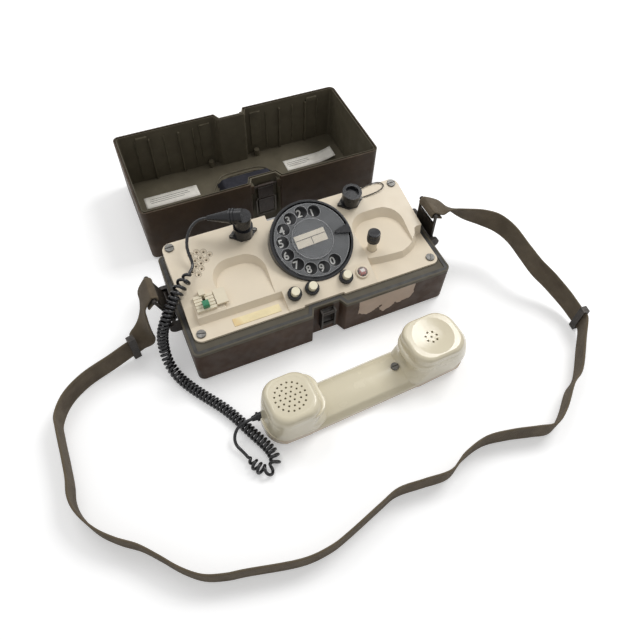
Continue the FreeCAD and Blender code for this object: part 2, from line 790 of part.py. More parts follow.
feature("dial_mechanism", dial_mechanism(), DIAL)


def pulse_cam():
    """A pinion against the drive gear and the cam that breaks the line circuit as the dial runs back."""
    cam = cylinder(S.cam_radius, S.gear_thickness, Vector(0, 0, 0))
    lobes = [cylinder(1.4, S.gear_thickness, Vector(S.cam_radius * math.cos(a),
                                                    S.cam_radius * math.sin(a), 0))
             for a in (0.0, 2 * math.pi / 3, 4 * math.pi / 3)]
    height = GEAR_TOP + 23.0
    pinion = cylinder(S.pinion_radius, height, Vector(0, 0, 0))
    return fused([cam, pinion] + lobes).cut(cylinder(1.05, 40, Vector(0, 0, -2)))


feature("pulse_cam", pulse_cam(), at(DIAL, -PULSE_X, 0, -23.0))


# Line sockets, plug and dust cap

def flange():
    half = S.flange_length / 2
    outline = [Vector(-half + 4, -2.6, 0), Vector(-5, -S.flange_width / 2, 0),
               Vector(5, -S.flange_width / 2, 0), Vector(half - 4, -2.6, 0), Vector(half, 0, 0),
               Vector(half - 4, 2.6, 0), Vector(5, S.flange_width / 2, 0),
               Vector(-5, S.flange_width / 2, 0), Vector(-half + 4, 2.6, 0), Vector(-half, 0, 0)]
    return prism(rounded_path(outline, [1.0, 3, 3, 1.0, 1.2, 1.0, 3, 3, 1.0, 1.2], closed=True),
                 0, S.flange_thickness)


def socket():
    neck = cylinder(S.socket_neck_radius, S.socket_neck_height, Vector(0, 0, 0))
    barrel = cylinder(S.socket_neck_radius - 0.8, 12, Vector(0, 0, -12))
    body = fused([flange(), neck, barrel])
    bore = cylinder(S.socket_bore_radius, S.socket_depth,
                    Vector(0, 0, S.socket_neck_height - S.socket_depth))
    screws = [cylinder(1.2, 10, Vector(side * SOCKET_SCREW, 0, -2)) for side in (-1, 1)]
    body = body.cut([bore] + screws)
    return body


def sockets():
    return Part.makeCompound([placed(socket(), at(TOP, x, S.socket_run)) for x in SOCKET_X])


feature("line_sockets", sockets())


def line_plug():
    """A right-angle plug: stem over the neck, elbow and boot, its axis along the frame's X."""
    stem_base = S.flange_thickness + S.seat_gap
    stem = cylinder(S.plug_radius + 1.6, 12, Vector(0, 0, stem_base))
    stem = stem.cut(cylinder(S.socket_neck_radius + 0.3, S.socket_neck_height - stem_base + 0.4,
                             Vector(0, 0, stem_base)))
    elbow_z = S.plug_height - S.elbow_radius
    column = cylinder(S.plug_radius, elbow_z - stem_base, Vector(0, 0, stem_base + 10))
    column = column.common(box(-20, 20, -20, 20, 0, elbow_z))
    pin = cylinder(S.socket_bore_radius - 0.5, 9, Vector(0, 0, S.socket_neck_height - 8))
    knee = Part.makeSphere(S.plug_radius, Vector(0, 0, elbow_z))
    knee_point = Vector(0, 0, elbow_z)
    barrel = cylinder(S.elbow_radius, 13, knee_point, ELBOW_WAY)
    rings = [cylinder(S.elbow_radius + 0.8, 1.6, knee_point + ELBOW_WAY * x, ELBOW_WAY)
             for x in (7.5, 10.5)]
    boot = Part.makeCone(S.elbow_radius - 0.6, S.wire_diameter / 2 + 0.9, S.boot_length,
                         knee_point + ELBOW_WAY * 13, ELBOW_WAY)
    return fused([stem, column, pin, knee, barrel] + rings + [boot])


ELBOW_WAY = Vector(-math.cos(math.radians(S.elbow_droop)), 0, -math.sin(math.radians(S.elbow_droop)))
PLUG = at(TOP, SOCKET_X[0], S.socket_run).multiply(Placement(Vector(), Rotation(Vector(0, 0, 1),
                                                                                 S.plug_turn)))
feature("line_plug", line_plug(), PLUG)
BOOT_END = PLUG.multVec(Vector(0, 0, S.plug_height - S.elbow_radius) + ELBOW_WAY * (13 + S.boot_length))
BOOT_AXIS = PLUG.Rotation.multVec(ELBOW_WAY)


def dust_cap():
    """A cap over the socket's neck, its top recessed."""
    base = S.flange_thickness + S.seat_gap
    skirt = cylinder(S.cap_radius, S.cap_height, Vector(0, 0, base))
    ring = cylinder(S.cap_radius + 0.8, 3.2, Vector(0, 0, base + S.cap_height - 3.2))
    bore = cylinder(S.socket_neck_radius + 0.3, S.socket_neck_height - base + 0.5, Vector(0, 0, base))
    recess = cylinder(S.cap_radius - 2.2, 3.5, Vector(0, 0, base + S.cap_height - 3.5))
    return fused([skirt, ring]).cut([bore, recess])


feature("dust_cap", dust_cap(), at(TOP, SOCKET_X[1], S.socket_run))


def lanyard():
    """A thin wire loop from the right-hand flange screw to the faceplate's corner screw."""
    run = S.socket_run
    first = SOCKET_X[1] + 16.0
    points = [Vector(first, run + 1, 0.85), Vector(first + 9, run + 1.0, 1.3),
              Vector(first + 20, run + 2.5, 1.6), Vector(first + 28, run + 7, 1.3),
              Vector(first + 25, run + 13, 1.1), Vector(first + 14, run + 14.0, 1.2),
              Vector(first + 4, run + 12, 1.1), Vector(first - 4.0, run + 11, 0.85)]
    return points


# Push buttons and indicator

def collar():
    body = cylinder(S.collar_radius, S.collar_height, Vector(0, 0, 0))
    top = [edge for edge in body.Edges if edge.BoundBox.ZMin > S.collar_height - 0.01 and
           edge.BoundBox.XLength > 1]
    body = body.makeChamfer(0.8, top)
    flutes = []
    for index in range(16):
        angle = 2 * math.pi * index / 16
        flutes.append(cylinder(0.55, S.collar_height, Vector(S.collar_radius * math.cos(angle),
                                                             S.collar_radius * math.sin(angle), 0)))
    return body.cut(flutes + [cylinder(S.button_radius + S.running_gap, 20, Vector(0, 0, -5))])


def collars():
    return Part.makeCompound([placed(collar(), at(BAND, x, BUTTON_RUN)) for x in BUTTON_X])


feature("button_collars", collars())

for name, x in zip(("button_left", "button_middle", "button_right"), BUTTON_X):
    cap = round_bar(name, "Sizes.button_radius", "Sizes.button_height")
    keep(cap, name, at(BAND, x, BUTTON_RUN, -S.button_travel / 2))


def bezel():
    ring = cylinder(S.bezel_radius, S.bezel_height, Vector(0, 0, 0))
    top = [edge for edge in ring.Edges if edge.BoundBox.ZMin > S.bezel_height - 0.01 and
           edge.BoundBox.XLength > 1]
    return ring.makeFillet(0.7, top).cut(cylinder(S.lens_radius, 10, Vector(0, 0, -2)))


feature("indicator_bezel", bezel(), at(BAND, INDICATOR_X, BUTTON_RUN))


def lens():
    """A clear dome on a short tube."""
    outer = Part.makeSphere(S.lens_radius - 0.05, Vector(0, 0, 1.0))
    outer = outer.common(box(-10, 10, -10, 10, 1.0, 10))
    tube = cylinder(S.lens_radius - 0.05, 1.0, Vector(0, 0, 0))
    inner = Part.makeSphere(S.lens_radius - 0.75, Vector(0, 0, 1.0))
    return outer.fuse(tube).removeSplitter().cut([inner, cylinder(S.lens_radius - 0.75, 1.0,
                                                                  Vector(0, 0, 0))])


feature("indicator_lens", lens(), at(BAND, INDICATOR_X, BUTTON_RUN))


def flag():
    """The drum that shows one of two colours behind the lens."""
    drum = cylinder(S.flag_radius - 0.3, 5.0, Vector(-2.5, 0, 0), Vector(1, 0, 0))
    axle = cylinder(0.6, 7.6, Vector(-3.8, 0, 0), Vector(1, 0, 0))
    return drum.fuse(axle).removeSplitter()


feature("indicator_flag", flag(), at(BAND, INDICATOR_X, BUTTON_RUN, 0.6))


# Hook switch plunger

def plunger():
    stalk = cylinder(S.stalk_radius, S.stalk_height + S.stalk_foot, Vector(0, 0, -S.stalk_foot))
    head = cylinder(S.plunger_radius, S.plunger_height, Vector(0, 0, S.stalk_height))
    top = [edge for edge in head.Edges if edge.BoundBox.ZMin > S.stalk_height + S.plunger_height - 0.01
           and edge.BoundBox.XLength > 1]
    head = head.makeFillet(1.2, top)
    return head.fuse(stalk).removeSplitter()


PLUNGER = Placement(Vector(S.plunger_x, S.plunger_y, S.rest_floor), Rotation())
feature("hook_plunger", plunger(), PLUNGER)


# Selector and key

def selector_block():
    """A grooved block with the knob's slot and a raised tab behind it."""
    half = S.selector_width / 2
    reach = S.selector_length / 2
    body = box(-half, half, -reach, reach, 0, S.selector_height)
    run = S.knob_travel / 2 + 3.2
    slot = box(-S.knob_width / 2 + 1.6, S.knob_width / 2 - 1.6, -run, run, -1, 10)
    tab = box(-S.tab_width / 2, S.tab_width / 2, reach - 1.0, reach + 5.0, 0, S.selector_height + 1.6)
    count = 4
    grooves = [box(-half - 1, half + 1, y - 0.3, y + 0.3, S.selector_height - 0.8, S.selector_height + 1)
               for y in [-reach + (index + 1) * 2 * reach / (count + 1) for index in range(count)]]
    return body.cut(grooves).fuse(tab).removeSplitter().cut(slot)


SELECTOR = at(TOP, S.selector_x, S.selector_run)
feature("selector_block", selector_block(), SELECTOR)


def selector_knob():
    grip = box(-S.knob_width / 2, S.knob_width / 2, -S.knob_length / 2, S.knob_length / 2, 0,
               S.knob_height)
    long_edges = [edge for edge in grip.Edges if edge.BoundBox.XLength > S.knob_width - 0.1 and
                  edge.BoundBox.ZMin > S.knob_height - 0.1]
    grip = grip.makeFillet(1.4, long_edges)
    stem = box(-S.knob_width / 2 + 1.9, S.knob_width / 2 - 1.9, -1.5, 1.5, -9, 1)
    return grip.fuse(stem).removeSplitter()


feature("selector_knob", selector_knob(), at(SELECTOR, 0, -S.knob_travel / 2,
                                               S.selector_height + S.seat_gap))


def flat_key():
    """A flat key on a stem, standing just clear of the faceplate."""
    cap = box(-S.key_width / 2, S.key_width / 2, -S.key_length / 2, S.key_length / 2, S.key_travel + 0.3,
              S.key_travel + 0.3 + S.key_height)
    stem = box(-2.6, 2.6, -4.6, 4.6, -9, S.key_travel + 1)
    return cap.fuse(stem).removeSplitter()


feature("flat_key", flat_key(), at(TOP, S.key_x, S.key_run))

label = slab("label_plate", "Sizes.label_length", "Sizes.label_width", "Sizes.label_thickness")
keep(label, "label_plate", Placement(Vector(-66.3, -41.6, S.shelf_height),
                                     Rotation(Vector(0, 0, 1), 0)))


# Inner pieces

board = slab("circuit_board", "Sizes.board_length", "Sizes.board_depth", "Sizes.board_thickness")
keep(board, "circuit_board", Placement(Vector(0, -25.0, BOARD_Z), Rotation()))


def transformer():
    """A laminated core with its winding, standing on the case floor."""
    core = box(-S.core_length / 2, S.core_length / 2, -S.core_depth / 2, S.core_depth / 2, 0,
               S.core_height)
    window = box(-S.core_length / 2 + 7, S.core_length / 2 - 7, -30, 30, 7, S.core_height - 7)
    winding = box(-S.core_length / 2 + 7.4, S.core_length / 2 - 7.4, -S.core_depth / 2 - 3,
                  S.core_depth / 2 + 3, 7.4, S.core_height - 7.4)
    return Part.makeCompound([core.cut(window), winding])


feature("transformer", transformer(), Placement(Vector(82, 24, S.case_floor), Rotation()))


def cells():
    """Two rows of cylindrical cells in their cradles."""
    row = []
    for y in CELL_ROWS:
        for x in (-54.0, 1.0):
            can = cylinder(S.cell_radius, S.cell_length, Vector(x - S.cell_length / 2, y, CELL_Z),
                           Vector(1, 0, 0))
            stud = cylinder(3.0, 2.0, Vector(x + S.cell_length / 2, y, CELL_Z), Vector(1, 0, 0))
            row.append(can.fuse(stud).removeSplitter())
    return Part.makeCompound(row)


feature("battery_cells", cells())


def sounder():
    """The calling sounder, standing on the case floor below the sound holes."""
    post = cylinder(6.0, SOUNDER_Z - S.case_floor, Vector(0, 0, S.case_floor))
    can = cylinder(S.sounder_radius, S.sounder_height, Vector(0, 0, SOUNDER_Z))
    return can.fuse(post).removeSplitter()


SOUNDER_Z = 30.0
feature("sounder", sounder(), Placement(Vector(-98.0, 28.0, 0), Rotation()))


def hook_switch():
    """The switch under the plunger, standing on the circuit board."""
    height = S.rest_floor - S.stalk_foot - S.plunger_travel - 0.6 - BOARD_Z - S.board_thickness
    body = box(-9, 9, -7, 7, 0, height - 2)
    blade = box(-6, 6, -2.5, 2.5, height - 2.5, height)
    return body.fuse(blade).removeSplitter()


feature("hook_switch", hook_switch(), Placement(Vector(S.plunger_x, S.plunger_y,
                                                       BOARD_Z + S.board_thickness), Rotation()))


# Strap brackets

def lug(side):
    """Two ears and a pin on the side wall."""
    wall = side * S.case_length / 2
    reach = S.barrel_radius + 1.4
    half = S.lug_span / 2
    plate = box(min(wall, wall + side * 1.2), max(wall, wall + side * 1.2),
                S.lug_y - half - S.ear_thickness, S.lug_y + half + S.ear_thickness,
                S.bracket_z - 6, S.bracket_z + 6)
    ears = []
    for front in (S.lug_y - half - S.ear_thickness, S.lug_y + half):
        left, right = sorted((wall, wall + side * reach))
        ears.append(box(left, right, front, front + S.ear_thickness, S.bracket_z - 6, S.bracket_z + 6))
        ears.append(cylinder(6, S.ear_thickness, Vector(wall + side * reach, front, S.bracket_z),
                             Vector(0, 1, 0)))
    pin = cylinder(S.pin_radius, 2 * half + 2 * S.ear_thickness,
                   Vector(wall + side * reach, S.lug_y - half - S.ear_thickness, S.bracket_z),
                   Vector(0, 1, 0))
    block = fused([plate] + ears + [pin])
    left, right = sorted((wall, wall + side * 30))
    return block.common(box(left, right, -60, 60, 0, 100))


feature("strap_lugs", Part.makeCompound([lug(-1), lug(1)]))


def bracket():
    """A barrel on the pin and a plate with a slot for the webbing, pointing up."""
    half = S.bracket_width / 2
    barrel = cylinder(S.barrel_radius, S.bracket_width, Vector(0, -half, 0), Vector(0, 1, 0))
    plate = box(-S.bracket_thickness / 2, S.bracket_thickness / 2, -half, half, 0, S.bracket_length)
    bar = cylinder(2.2, S.bracket_width, Vector(0, -half, S.bracket_length), Vector(0, 1, 0))
    slot = box(-10, 10, -S.strap_width / 2 - 0.8, S.strap_width / 2 + 0.8, S.bracket_length - 11,
               S.bracket_length)
    bore = cylinder(S.pin_radius + 0.05, 80, Vector(0, -40, 0), Vector(0, 1, 0))
    return fused([barrel, plate.cut(slot), bar]).cut(bore)


PIN_X = S.case_length / 2 + S.barrel_radius + 1.4
LEFT_BRACKET = Placement(Vector(-PIN_X, S.left_bracket_y, S.bracket_z),
                         Rotation(Vector(0, 1, 0), -S.left_lean))
RIGHT_BRACKET = Placement(Vector(PIN_X, S.right_bracket_y, S.bracket_z),
                          Rotation(Vector(0, 1, 0), S.right_lean))
feature("left_bracket", bracket(), LEFT_BRACKET)
feature("right_bracket", bracket(), RIGHT_BRACKET)


# Strap: flat webbing through rectangles square to its route

def ribbon(stations):
    """Webbing through stations of centre, direction of its width and, at a joint, its run."""
    centres = [Vector(*station[0]) for station in stations]
    sections = []
    for index, station in enumerate(stations):
        before = centres[max(index - 1, 0)]
        after = centres[min(index + 1, len(centres) - 1)]
        run = Vector(*station[2]) if len(station) > 2 else after - before
        run.normalize()
        wide = Vector(*station[1])
        wide = (wide - run * wide.dot(run)).normalize()
        thick = run.cross(wide).normalize()
        half_wide = wide * (S.strap_width / 2)
        half_thick = thick * (S.strap_thickness / 2)
        centre = centres[index]
        corners = [centre - half_wide - half_thick, centre + half_wide - half_thick,
                   centre + half_wide + half_thick, centre - half_wide + half_thick]
        sections.append(Part.makePolygon(corners + corners[:1]))
    return Part.makeLoft(sections, True, True)


ON_EDGE = (0, 0, 1)
ACROSS = (0, 1, 0)
STRAP_Z = S.strap_width / 2 + 0.2
KEEPER_Z = S.strap_width / 2 + 4.2
STRAP_ROUTE = [(-182.2, -11.15), (-189, -12.85), (-205, -17.5), (-231, -26), (-250, -39), (-261, -56),
               (-262.5, -70), (-262.6, -96), (-263, -117), (-264.6, -133), (-261.4, -148),
               (-251.3, -166), (-238, -180), (-223, -192), (-210.5, -206), (-198, -221),
               (-184, -233), (-168, -239.4), (-152, -243), (-111, -253), (-86, -253.4), (-66, -249),
               (-33, -239), (-14, -234), (10, -236), (35, -238), (54, -229.5), (79, -224.3),
               (104, -228), (128, -234.5), (145, -238), (163, -229), (185, -211), (202, -201.5),
               (227, -174), (240.9, -157.5), (241.68, -150.2)]
LEFT_DROP = [((-160.5, 6, 60), ACROSS, (-3, -1, -12)), ((-162, 4.5, 48), ACROSS),
             ((-164, 2, 36), (-0.1, 1, 0.05)), ((-167.5, -2, 26), (-0.25, 1, 0.3)),
             ((-172, -6.5, 20), (-0.3, 0.7, 0.7)), ((-177, -9.85, 17.0), ON_EDGE),
             ((-181.8, -11.05, KEEPER_Z), ON_EDGE, (-20, -5, 0))]
RIGHT_RUN = [((151, 0, 68.5), ACROSS, (12, -1, -2)), ((162, -4, 66), (0.1, 0.8, -0.6)),
             ((178, -13, 61), (0.1, 0.35, -0.9)), ((195, -22, 57), (0.05, 0.1, -1)),
             ((208, -32, 53), (0, 0, -1)), ((216, -48, 49), (0, 0, -1)), ((220, -70, 43), (0, 0, -1)),
             ((225, -88, 36), (0, 0, -1)), ((234, -106, 27.5), (0, 0, -1)),
             ((240.8, -126, 20.0), (0, 0, -1)), ((242.5, -142, KEEPER_Z), (0, 0, -1)),
             ((241.72, -149.8, KEEPER_Z), (0, 0, -1), (-1, -10, 0))]


def ground_stations():
    """The part on the ground: it lies on its edge and climbs into the slider and the keeper."""
    heights = [KEEPER_Z, KEEPER_Z - 0.6, STRAP_Z + 1.2] + [STRAP_Z] * (len(STRAP_ROUTE) - 6)
    heights += [STRAP_Z + 1.2, KEEPER_Z - 0.6, KEEPER_Z]
    stations = [((x, y, z), ON_EDGE) for (x, y), z in zip(STRAP_ROUTE, heights)]
    stations[0] = (*stations[0], (-20, -5, 0))
    stations[-1] = (*stations[-1], (1, 10, 0))
    return stations


def strap_main():
    return Part.makeCompound([ribbon(LEFT_DROP), ribbon(ground_stations()), ribbon(RIGHT_RUN)])


feature("strap_main", strap_main())


def strap_end(side, joint):
    """The webbing's end: through the bracket's slot, round its bar and out to the joint's place."""
    length = S.bracket_length
    wrap = 2.2 + S.strap_thickness / 2 + S.seat_gap
    points = [(side * 10.0, length - 8.2), (side * 5.0, length - 5.6)]
    for angle in (-90, -50, -10, 30, 70, 110):
        points.append((-side * wrap * math.cos(math.radians(angle)),
                       length + wrap * math.sin(math.radians(angle))))
    stations = [((x, 0, z), ACROSS) for x, z in points]
    return ribbon(stations + [joint])


def in_frame(frame, station):
    """A joint's station seen from a frame, drawn back along the webbing by the seat gap."""
    turn = frame.Rotation.inverted()
    run = Vector(*station[2]).normalize()
    back = frame.inverse().multVec(Vector(*station[0]) - run * S.seat_gap)
    return tuple(back), tuple(turn.multVec(Vector(*station[1]))), tuple(turn.multVec(run))


feature("strap_left_end", strap_end(-1, in_frame(LEFT_BRACKET, LEFT_DROP[0])), LEFT_BRACKET)
feature("strap_right_end", strap_end(1, in_frame(RIGHT_BRACKET, RIGHT_RUN[0])), RIGHT_BRACKET)


def slider(centre, run, width):
    """A flat frame round the webbing with a middle bar."""
    frame = Part.makeBox(7, S.strap_width + 6, S.strap_thickness + 4.4,
                         Vector(-3.5, -S.strap_width / 2 - 3, -S.strap_thickness / 2 - 2.2))
    hole = Part.makeBox(12, S.strap_width + 1.6, S.strap_thickness + 2.4,
                        Vector(-6, -S.strap_width / 2 - 0.8, -S.strap_thickness / 2 - 1.2))
    frame = frame.cut(hole)
    along = Vector(*run).normalize()
    across = Vector(*width)
    across = (across - along * across.dot(along)).normalize()
    up = along.cross(across)
    frame.Placement = Placement(FreeCAD.Matrix(along.x, across.x, up.x, centre[0], along.y, across.y,
                                               up.y, centre[1], along.z, across.z, up.z, centre[2],
                                               0, 0, 0, 1))
    return frame


feature("strap_sliders", Part.makeCompound([
    slider((-182, -11.1, KEEPER_Z), (-20, -5, 0), ON_EDGE),
    slider((241.7, -150.0, KEEPER_Z), (-1.0, -10, 0), ON_EDGE)]))


# Handset: its own frame, X from the mouth end to the ear end

HANDSET = Placement(Vector(S.handset_x, S.handset_y, 0), Rotation(Vector(0, 0, 1), S.handset_turn))


def ring(centre, out, inward, half, height, corner):
    """A rounded rectangle round a cup's axis: reach to the end, to the grip and to both sides."""
    left, right = sorted((centre + math.copysign(out, centre), centre - math.copysign(inward, centre)))
    corner = min(corner, half - 0.4)
    outline = rounded_rectangle(left, right, -half, half, corner)
    outline.translate(Vector(0, 0, height))
    return outline


def back_profile(lift):
    """The space above the handset's back: flat in the middle, rising towards both ends."""
    points = [(-S.mouth_end - 2, S.back_rise + 0.3), (-34, 0), (40, 0), (S.ear_end + 2, S.back_rise + 0.3)]
    corners = [Vector(x, -60, z + lift) for x, z in points]
    path = rounded_path(corners + [Vector(S.ear_end + 2, -60, 90), Vector(-S.mouth_end - 2, -60, 90)],
                        [0, 150, 150, 0, 0, 0], closed=True)
    return Part.Face(path).extrude(Vector(0, 120, 0))


def grip_bar():
    """The bar under both cups: crowned section, rounded ends."""
    base = S.grip_width / 2
    top = S.grip_top_width / 2
    section = rounded_path([Vector(-200, y, z) for y, z in (
        (-base + 2.2, 0), (-base, 4), (-base, 8), (-top, S.grip_shoulder), (0, S.grip_height + 0.8),
        (top, S.grip_shoulder), (base, 8), (base, 4), (base - 2.2, 0))],
        [0, 2.5, 4, 4, 36, 4, 4, 2.5, 0], closed=True)
    bar = Part.Face(section).extrude(Vector(400, 0, 0))
    plan = rounded_rectangle(-S.mouth_end, S.ear_end, -base - 1, base + 1, 20)
    return bar.common(prism(plan, -1, 90))


def mouth_cup():
    end = S.mouth_end - S.cup_spread
    half = S.cup_width / 2
    stations = [(end, 31.0, half - 1.5, -1, 19), (end - 0.3, 34.0, half - 1.4, 11, 19),
                (end - 1.2, 31.5, half - 1.0, 18.5, 18), (end - 1.8, 27.5, half - 0.8, 22, 17),
                (end - 2.5, 25.2, half - 0.6, 27, 16), (end - 4.3, 24.0, half, S.cup_height, 15)]
    return Part.makeLoft([ring(-S.cup_spread, out, inward, wide, z, corner)
                          for out, inward, wide, z, corner in stations], True, False)


def ear_cup():
    end = S.ear_end - S.cup_spread
    half = S.cup_width / 2
    stations = [(end - 3.5, 33.0, half - 1.5, -1, 19), (end - 0.4, 35.0, half - 1.4, 11, 19),
                (end, 31.0, half - 1.0, 18.5, 18), (end - 0.6, 28.0, half - 0.8, 22, 17),
                (end - 1.6, 26.2, half - 0.5, 27, 17), (end - 5.6, 25.4, half, S.cup_height, 17)]
    return Part.makeLoft([ring(S.cup_spread, out, inward, wide, z, corner)
                          for out, inward, wide, z, corner in stations], True, False)


def handset_cavity():
    cups = [cylinder(S.capsule_radius + 0.6, 60, Vector(x, 0, 10)) for x in (-S.cup_spread, S.cup_spread)]
    channel = box(-S.cup_spread, S.cup_spread, -9, 9, S.back_thickness - 1, S.grip_height - 6)
    hole = cylinder(S.wire_diameter / 2 + 2.0, 40, Vector(-S.mouth_end - 20, GLAND_Y, GLAND_Z),
                    Vector(1, 0, 0))
    return cups + [channel, hole]


GLAND_Y = 9.0
GLAND_Z = 17.5
HANDSET_SCREWS = (-41.6, 37.2)


def handset_halves():
    block = fused([grip_bar(), mouth_cup(), ear_cup()]).common(back_profile(0))
    block = block.cut(handset_cavity())
    above = back_profile(S.back_thickness)
    seat = S.grip_height - 1.9
    screws = [cylinder(2.0, 40, Vector(x, 0, 2.5)) for x in HANDSET_SCREWS]
    heads = [cylinder(4.3, 20, Vector(x, 0, seat)) for x in HANDSET_SCREWS]
    lower = block.cut([above] + screws)
    upper = block.common(above).cut(screws + heads)
    return lower, upper


lower, upper = handset_halves()
feature("handset_back", lower, HANDSET)
feature("handset_inner", upper, HANDSET)


def mouth_cap():
    """A soft dome that carries on the cup's walls, with three rings of holes round a middle one."""
    end = S.mouth_end - S.cup_spread
    half = S.cup_width / 2
    high = S.mouth_cap_height
    stations = [(end - 4.3, 24.0, half, 0, 15), (end - 5.2, 23.4, half + 0.1, 0.5 * high, 15),
                (end - 6.8, 21.6, half - 1.2, 0.86 * high, 15), (end - 10.5, 17.5, half - 5.5, high, 13)]
    cap = Part.makeLoft([ring(-S.cup_spread, out, inward, wide, z, corner)
                         for out, inward, wide, z, corner in stations], True, False)
    cap.translate(Vector(S.cup_spread, 0, 0))
    holes = [cylinder(0.95, 30, Vector(0, 0, -5))]
    for circle, count in enumerate((6, 12, 18), start=1):
        for index in range(count):
            angle = 2 * math.pi * index / count
            holes.append(cylinder(0.95, 30, Vector(4.6 * circle * math.cos(angle),
                                                   4.6 * circle * math.sin(angle), -5)))
    return cap.cut([cylinder(S.capsule_radius - 1, high - 2.6, Vector(0, 0, -0.01))] + holes)


def ear_cap():
    """The earpiece's cap, dished, with one ring of holes round a middle one."""
    end = S.ear_end - S.cup_spread
    half = S.cup_width / 2
    high = S.ear_cap_height
    stations = [(end - 5.6, 25.4, half, 0, 17), (end - 8.8, 25.2, half + 0.2, 0.5 * high, 17),
                (end - 11.8, 24.4, half - 0.4, 0.86 * high, 17), (end - 14.0, 22.0, half - 2.4, high, 16)]
    cap = Part.makeLoft([ring(S.cup_spread, out, inward, wide, z, corner)
                         for out, inward, wide, z, corner in stations], True, False)
    cap.translate(Vector(-S.cup_spread, 0, 0))
    rim = half - 3.4
    sphere = (rim ** 2 + S.ear_dish ** 2) / (2 * S.ear_dish)
    dish = Part.makeSphere(sphere, Vector(1.5, 0, high - S.ear_dish + sphere))
    holes = [cylinder(1.1, 30, Vector(0, 0, -5))]
    for index in range(7):
        angle = 2 * math.pi * index / 7
        holes.append(cylinder(1.1, 30, Vector(5.6 * math.cos(angle), 5.6 * math.sin(angle), -5)))
    return cap.cut([dish, cylinder(S.capsule_radius - 1, high - 4.2, Vector(0, 0, -0.01))] + holes)


feature("mouth_cap", mouth_cap(), at(HANDSET, -S.cup_spread, 0, S.cup_height))
feature("ear_cap", ear_cap(), at(HANDSET, S.cup_spread, 0, S.cup_height))

for name, x in (("transmitter_capsule", -S.cup_spread), ("receiver_capsule", S.cup_spread)):
    capsule = round_bar(name, "Sizes.capsule_radius", "Sizes.capsule_height")
    keep(capsule, name, at(HANDSET, x, 0, S.cup_height - S.capsule_height - 0.3))


def handset_screws():
    screws = []
    for x in HANDSET_SCREWS:
        screw = slotted_screw(4.0, 1.8, 1.95, S.grip_height - 6.0)
        screws.append(placed(screw, Placement(Vector(x, 0, S.grip_height - 1.9), Rotation())))
    return Part.makeCompound(screws)


feature("handset_screws", handset_screws(), HANDSET)


def gland():
    """A rubber strain relief in the mouth end."""
    body = cylinder(S.wire_diameter / 2 + 1.9, 14, Vector(0, 0, 0), Vector(1, 0, 0))
    nose = Part.makeCone(S.wire_diameter / 2 + 1.9, S.wire_diameter / 2 + 0.8, 7, Vector(0, 0, 0),
                         Vector(-1, 0, 0))
    collar_ring = cylinder(S.wire_diameter / 2 + 2.9, 2.0, Vector(-2.3, 0, 0), Vector(1, 0, 0))
    return fused([body, nose, collar_ring])


GLAND_X = -S.mouth_end
feature("cord_gland", gland(), at(HANDSET, GLAND_X, GLAND_Y, GLAND_Z))
GLAND_END = HANDSET.multVec(Vector(GLAND_X - 7, GLAND_Y, GLAND_Z))
GLAND_AXIS = HANDSET.Rotation.multVec(Vector(-1, 0, 0))


# Lid: a deep tray standing on its top behind the case

def lid_shell():
    outer = case_block(S.lid_height)
    cavity = prism(case_outline(S.case_wall), S.case_floor, S.lid_height + 1)
    rim = prism(case_outline(1.4), S.lid_height - 2.0, S.lid_height + 1).cut(
        prism(case_outline(3.0), 0, S.lid_height + 1))
    shell = outer.cut([cavity, rim])
    ribs = []
    half = S.case_depth / 2 - S.case_wall
    for x in (-96.0, -62.0, 62.0, 96.0):
        for side in (-1, 1):
            near, far = sorted((side * (half + 0.5), side * (half - 3.0)))
            ribs.append(box(x - S.lid_rib / 2, x + S.lid_rib / 2, near, far, S.case_floor - 0.5,
                            S.lid_height - 9))
    for x in (-29.5, 29.5):
        ribs.append(cylinder(3.4, 9, Vector(x, half - 5, S.case_floor - 0.5)))
    rim_y = S.case_depth / 2
    bores = []
    for side in (-1, 1):
        near, far = sorted((side * (rim_y - 1.0), side * (rim_y - S.notch_depth - 0.5)))
        for left, right in ((-18.0, -S.notch_width / 2 + 0.2), (S.notch_width / 2 - 0.2, 18.0)):
            ribs.append(box(left, right, near, far, S.lever_pin_height - 5, S.lever_pin_height + 5))
        bores.append(cylinder(S.lever_pin_radius + 0.05, 33, Vector(-16.5, side * -LEVER_Y,
                                                                    S.lever_pin_height), Vector(1, 0, 0)))
    return fused([shell] + ribs).cut(bores)


LEVER_Y = -(S.case_depth / 2 - S.notch_depth) - 4.0


LID = Placement(Vector(S.lid_x, S.lid_y, 0), Rotation())
feature("lid_shell", lid_shell(), LID)


def lid_pad():
    """A soft pad on the lid's floor with sloped sides."""
    half, depth = S.pad_length / 2, S.pad_depth / 2
    low = Part.makePolygon([Vector(-half, -depth, 0), Vector(half, -depth, 0), Vector(half, depth, 0),
                            Vector(-half, depth, 0), Vector(-half, -depth, 0)])
    half, depth = half - 5, depth - 5
    high = Part.makePolygon([Vector(-half, -depth, S.pad_height), Vector(half, -depth, S.pad_height),
                             Vector(half, depth, S.pad_height), Vector(-half, depth, S.pad_height),
                             Vector(-half, -depth, S.pad_height)])
    return Part.makeLoft([low, high], True, True)


feature("lid_pad", lid_pad(), at(LID, 0, -9.0, S.case_floor))


def lid_labels():
    plain = box(-32, 32, -9, 9, 0, 0.5)
    right = plain.copy()
    plain.translate(Vector(-89.5, 20.5, 0))
    right.translate(Vector(86.5, 21.0, 0))
    return Part.makeCompound([plain, right])


feature("lid_labels", lid_labels(), at(LID, 0, 0, S.case_floor))


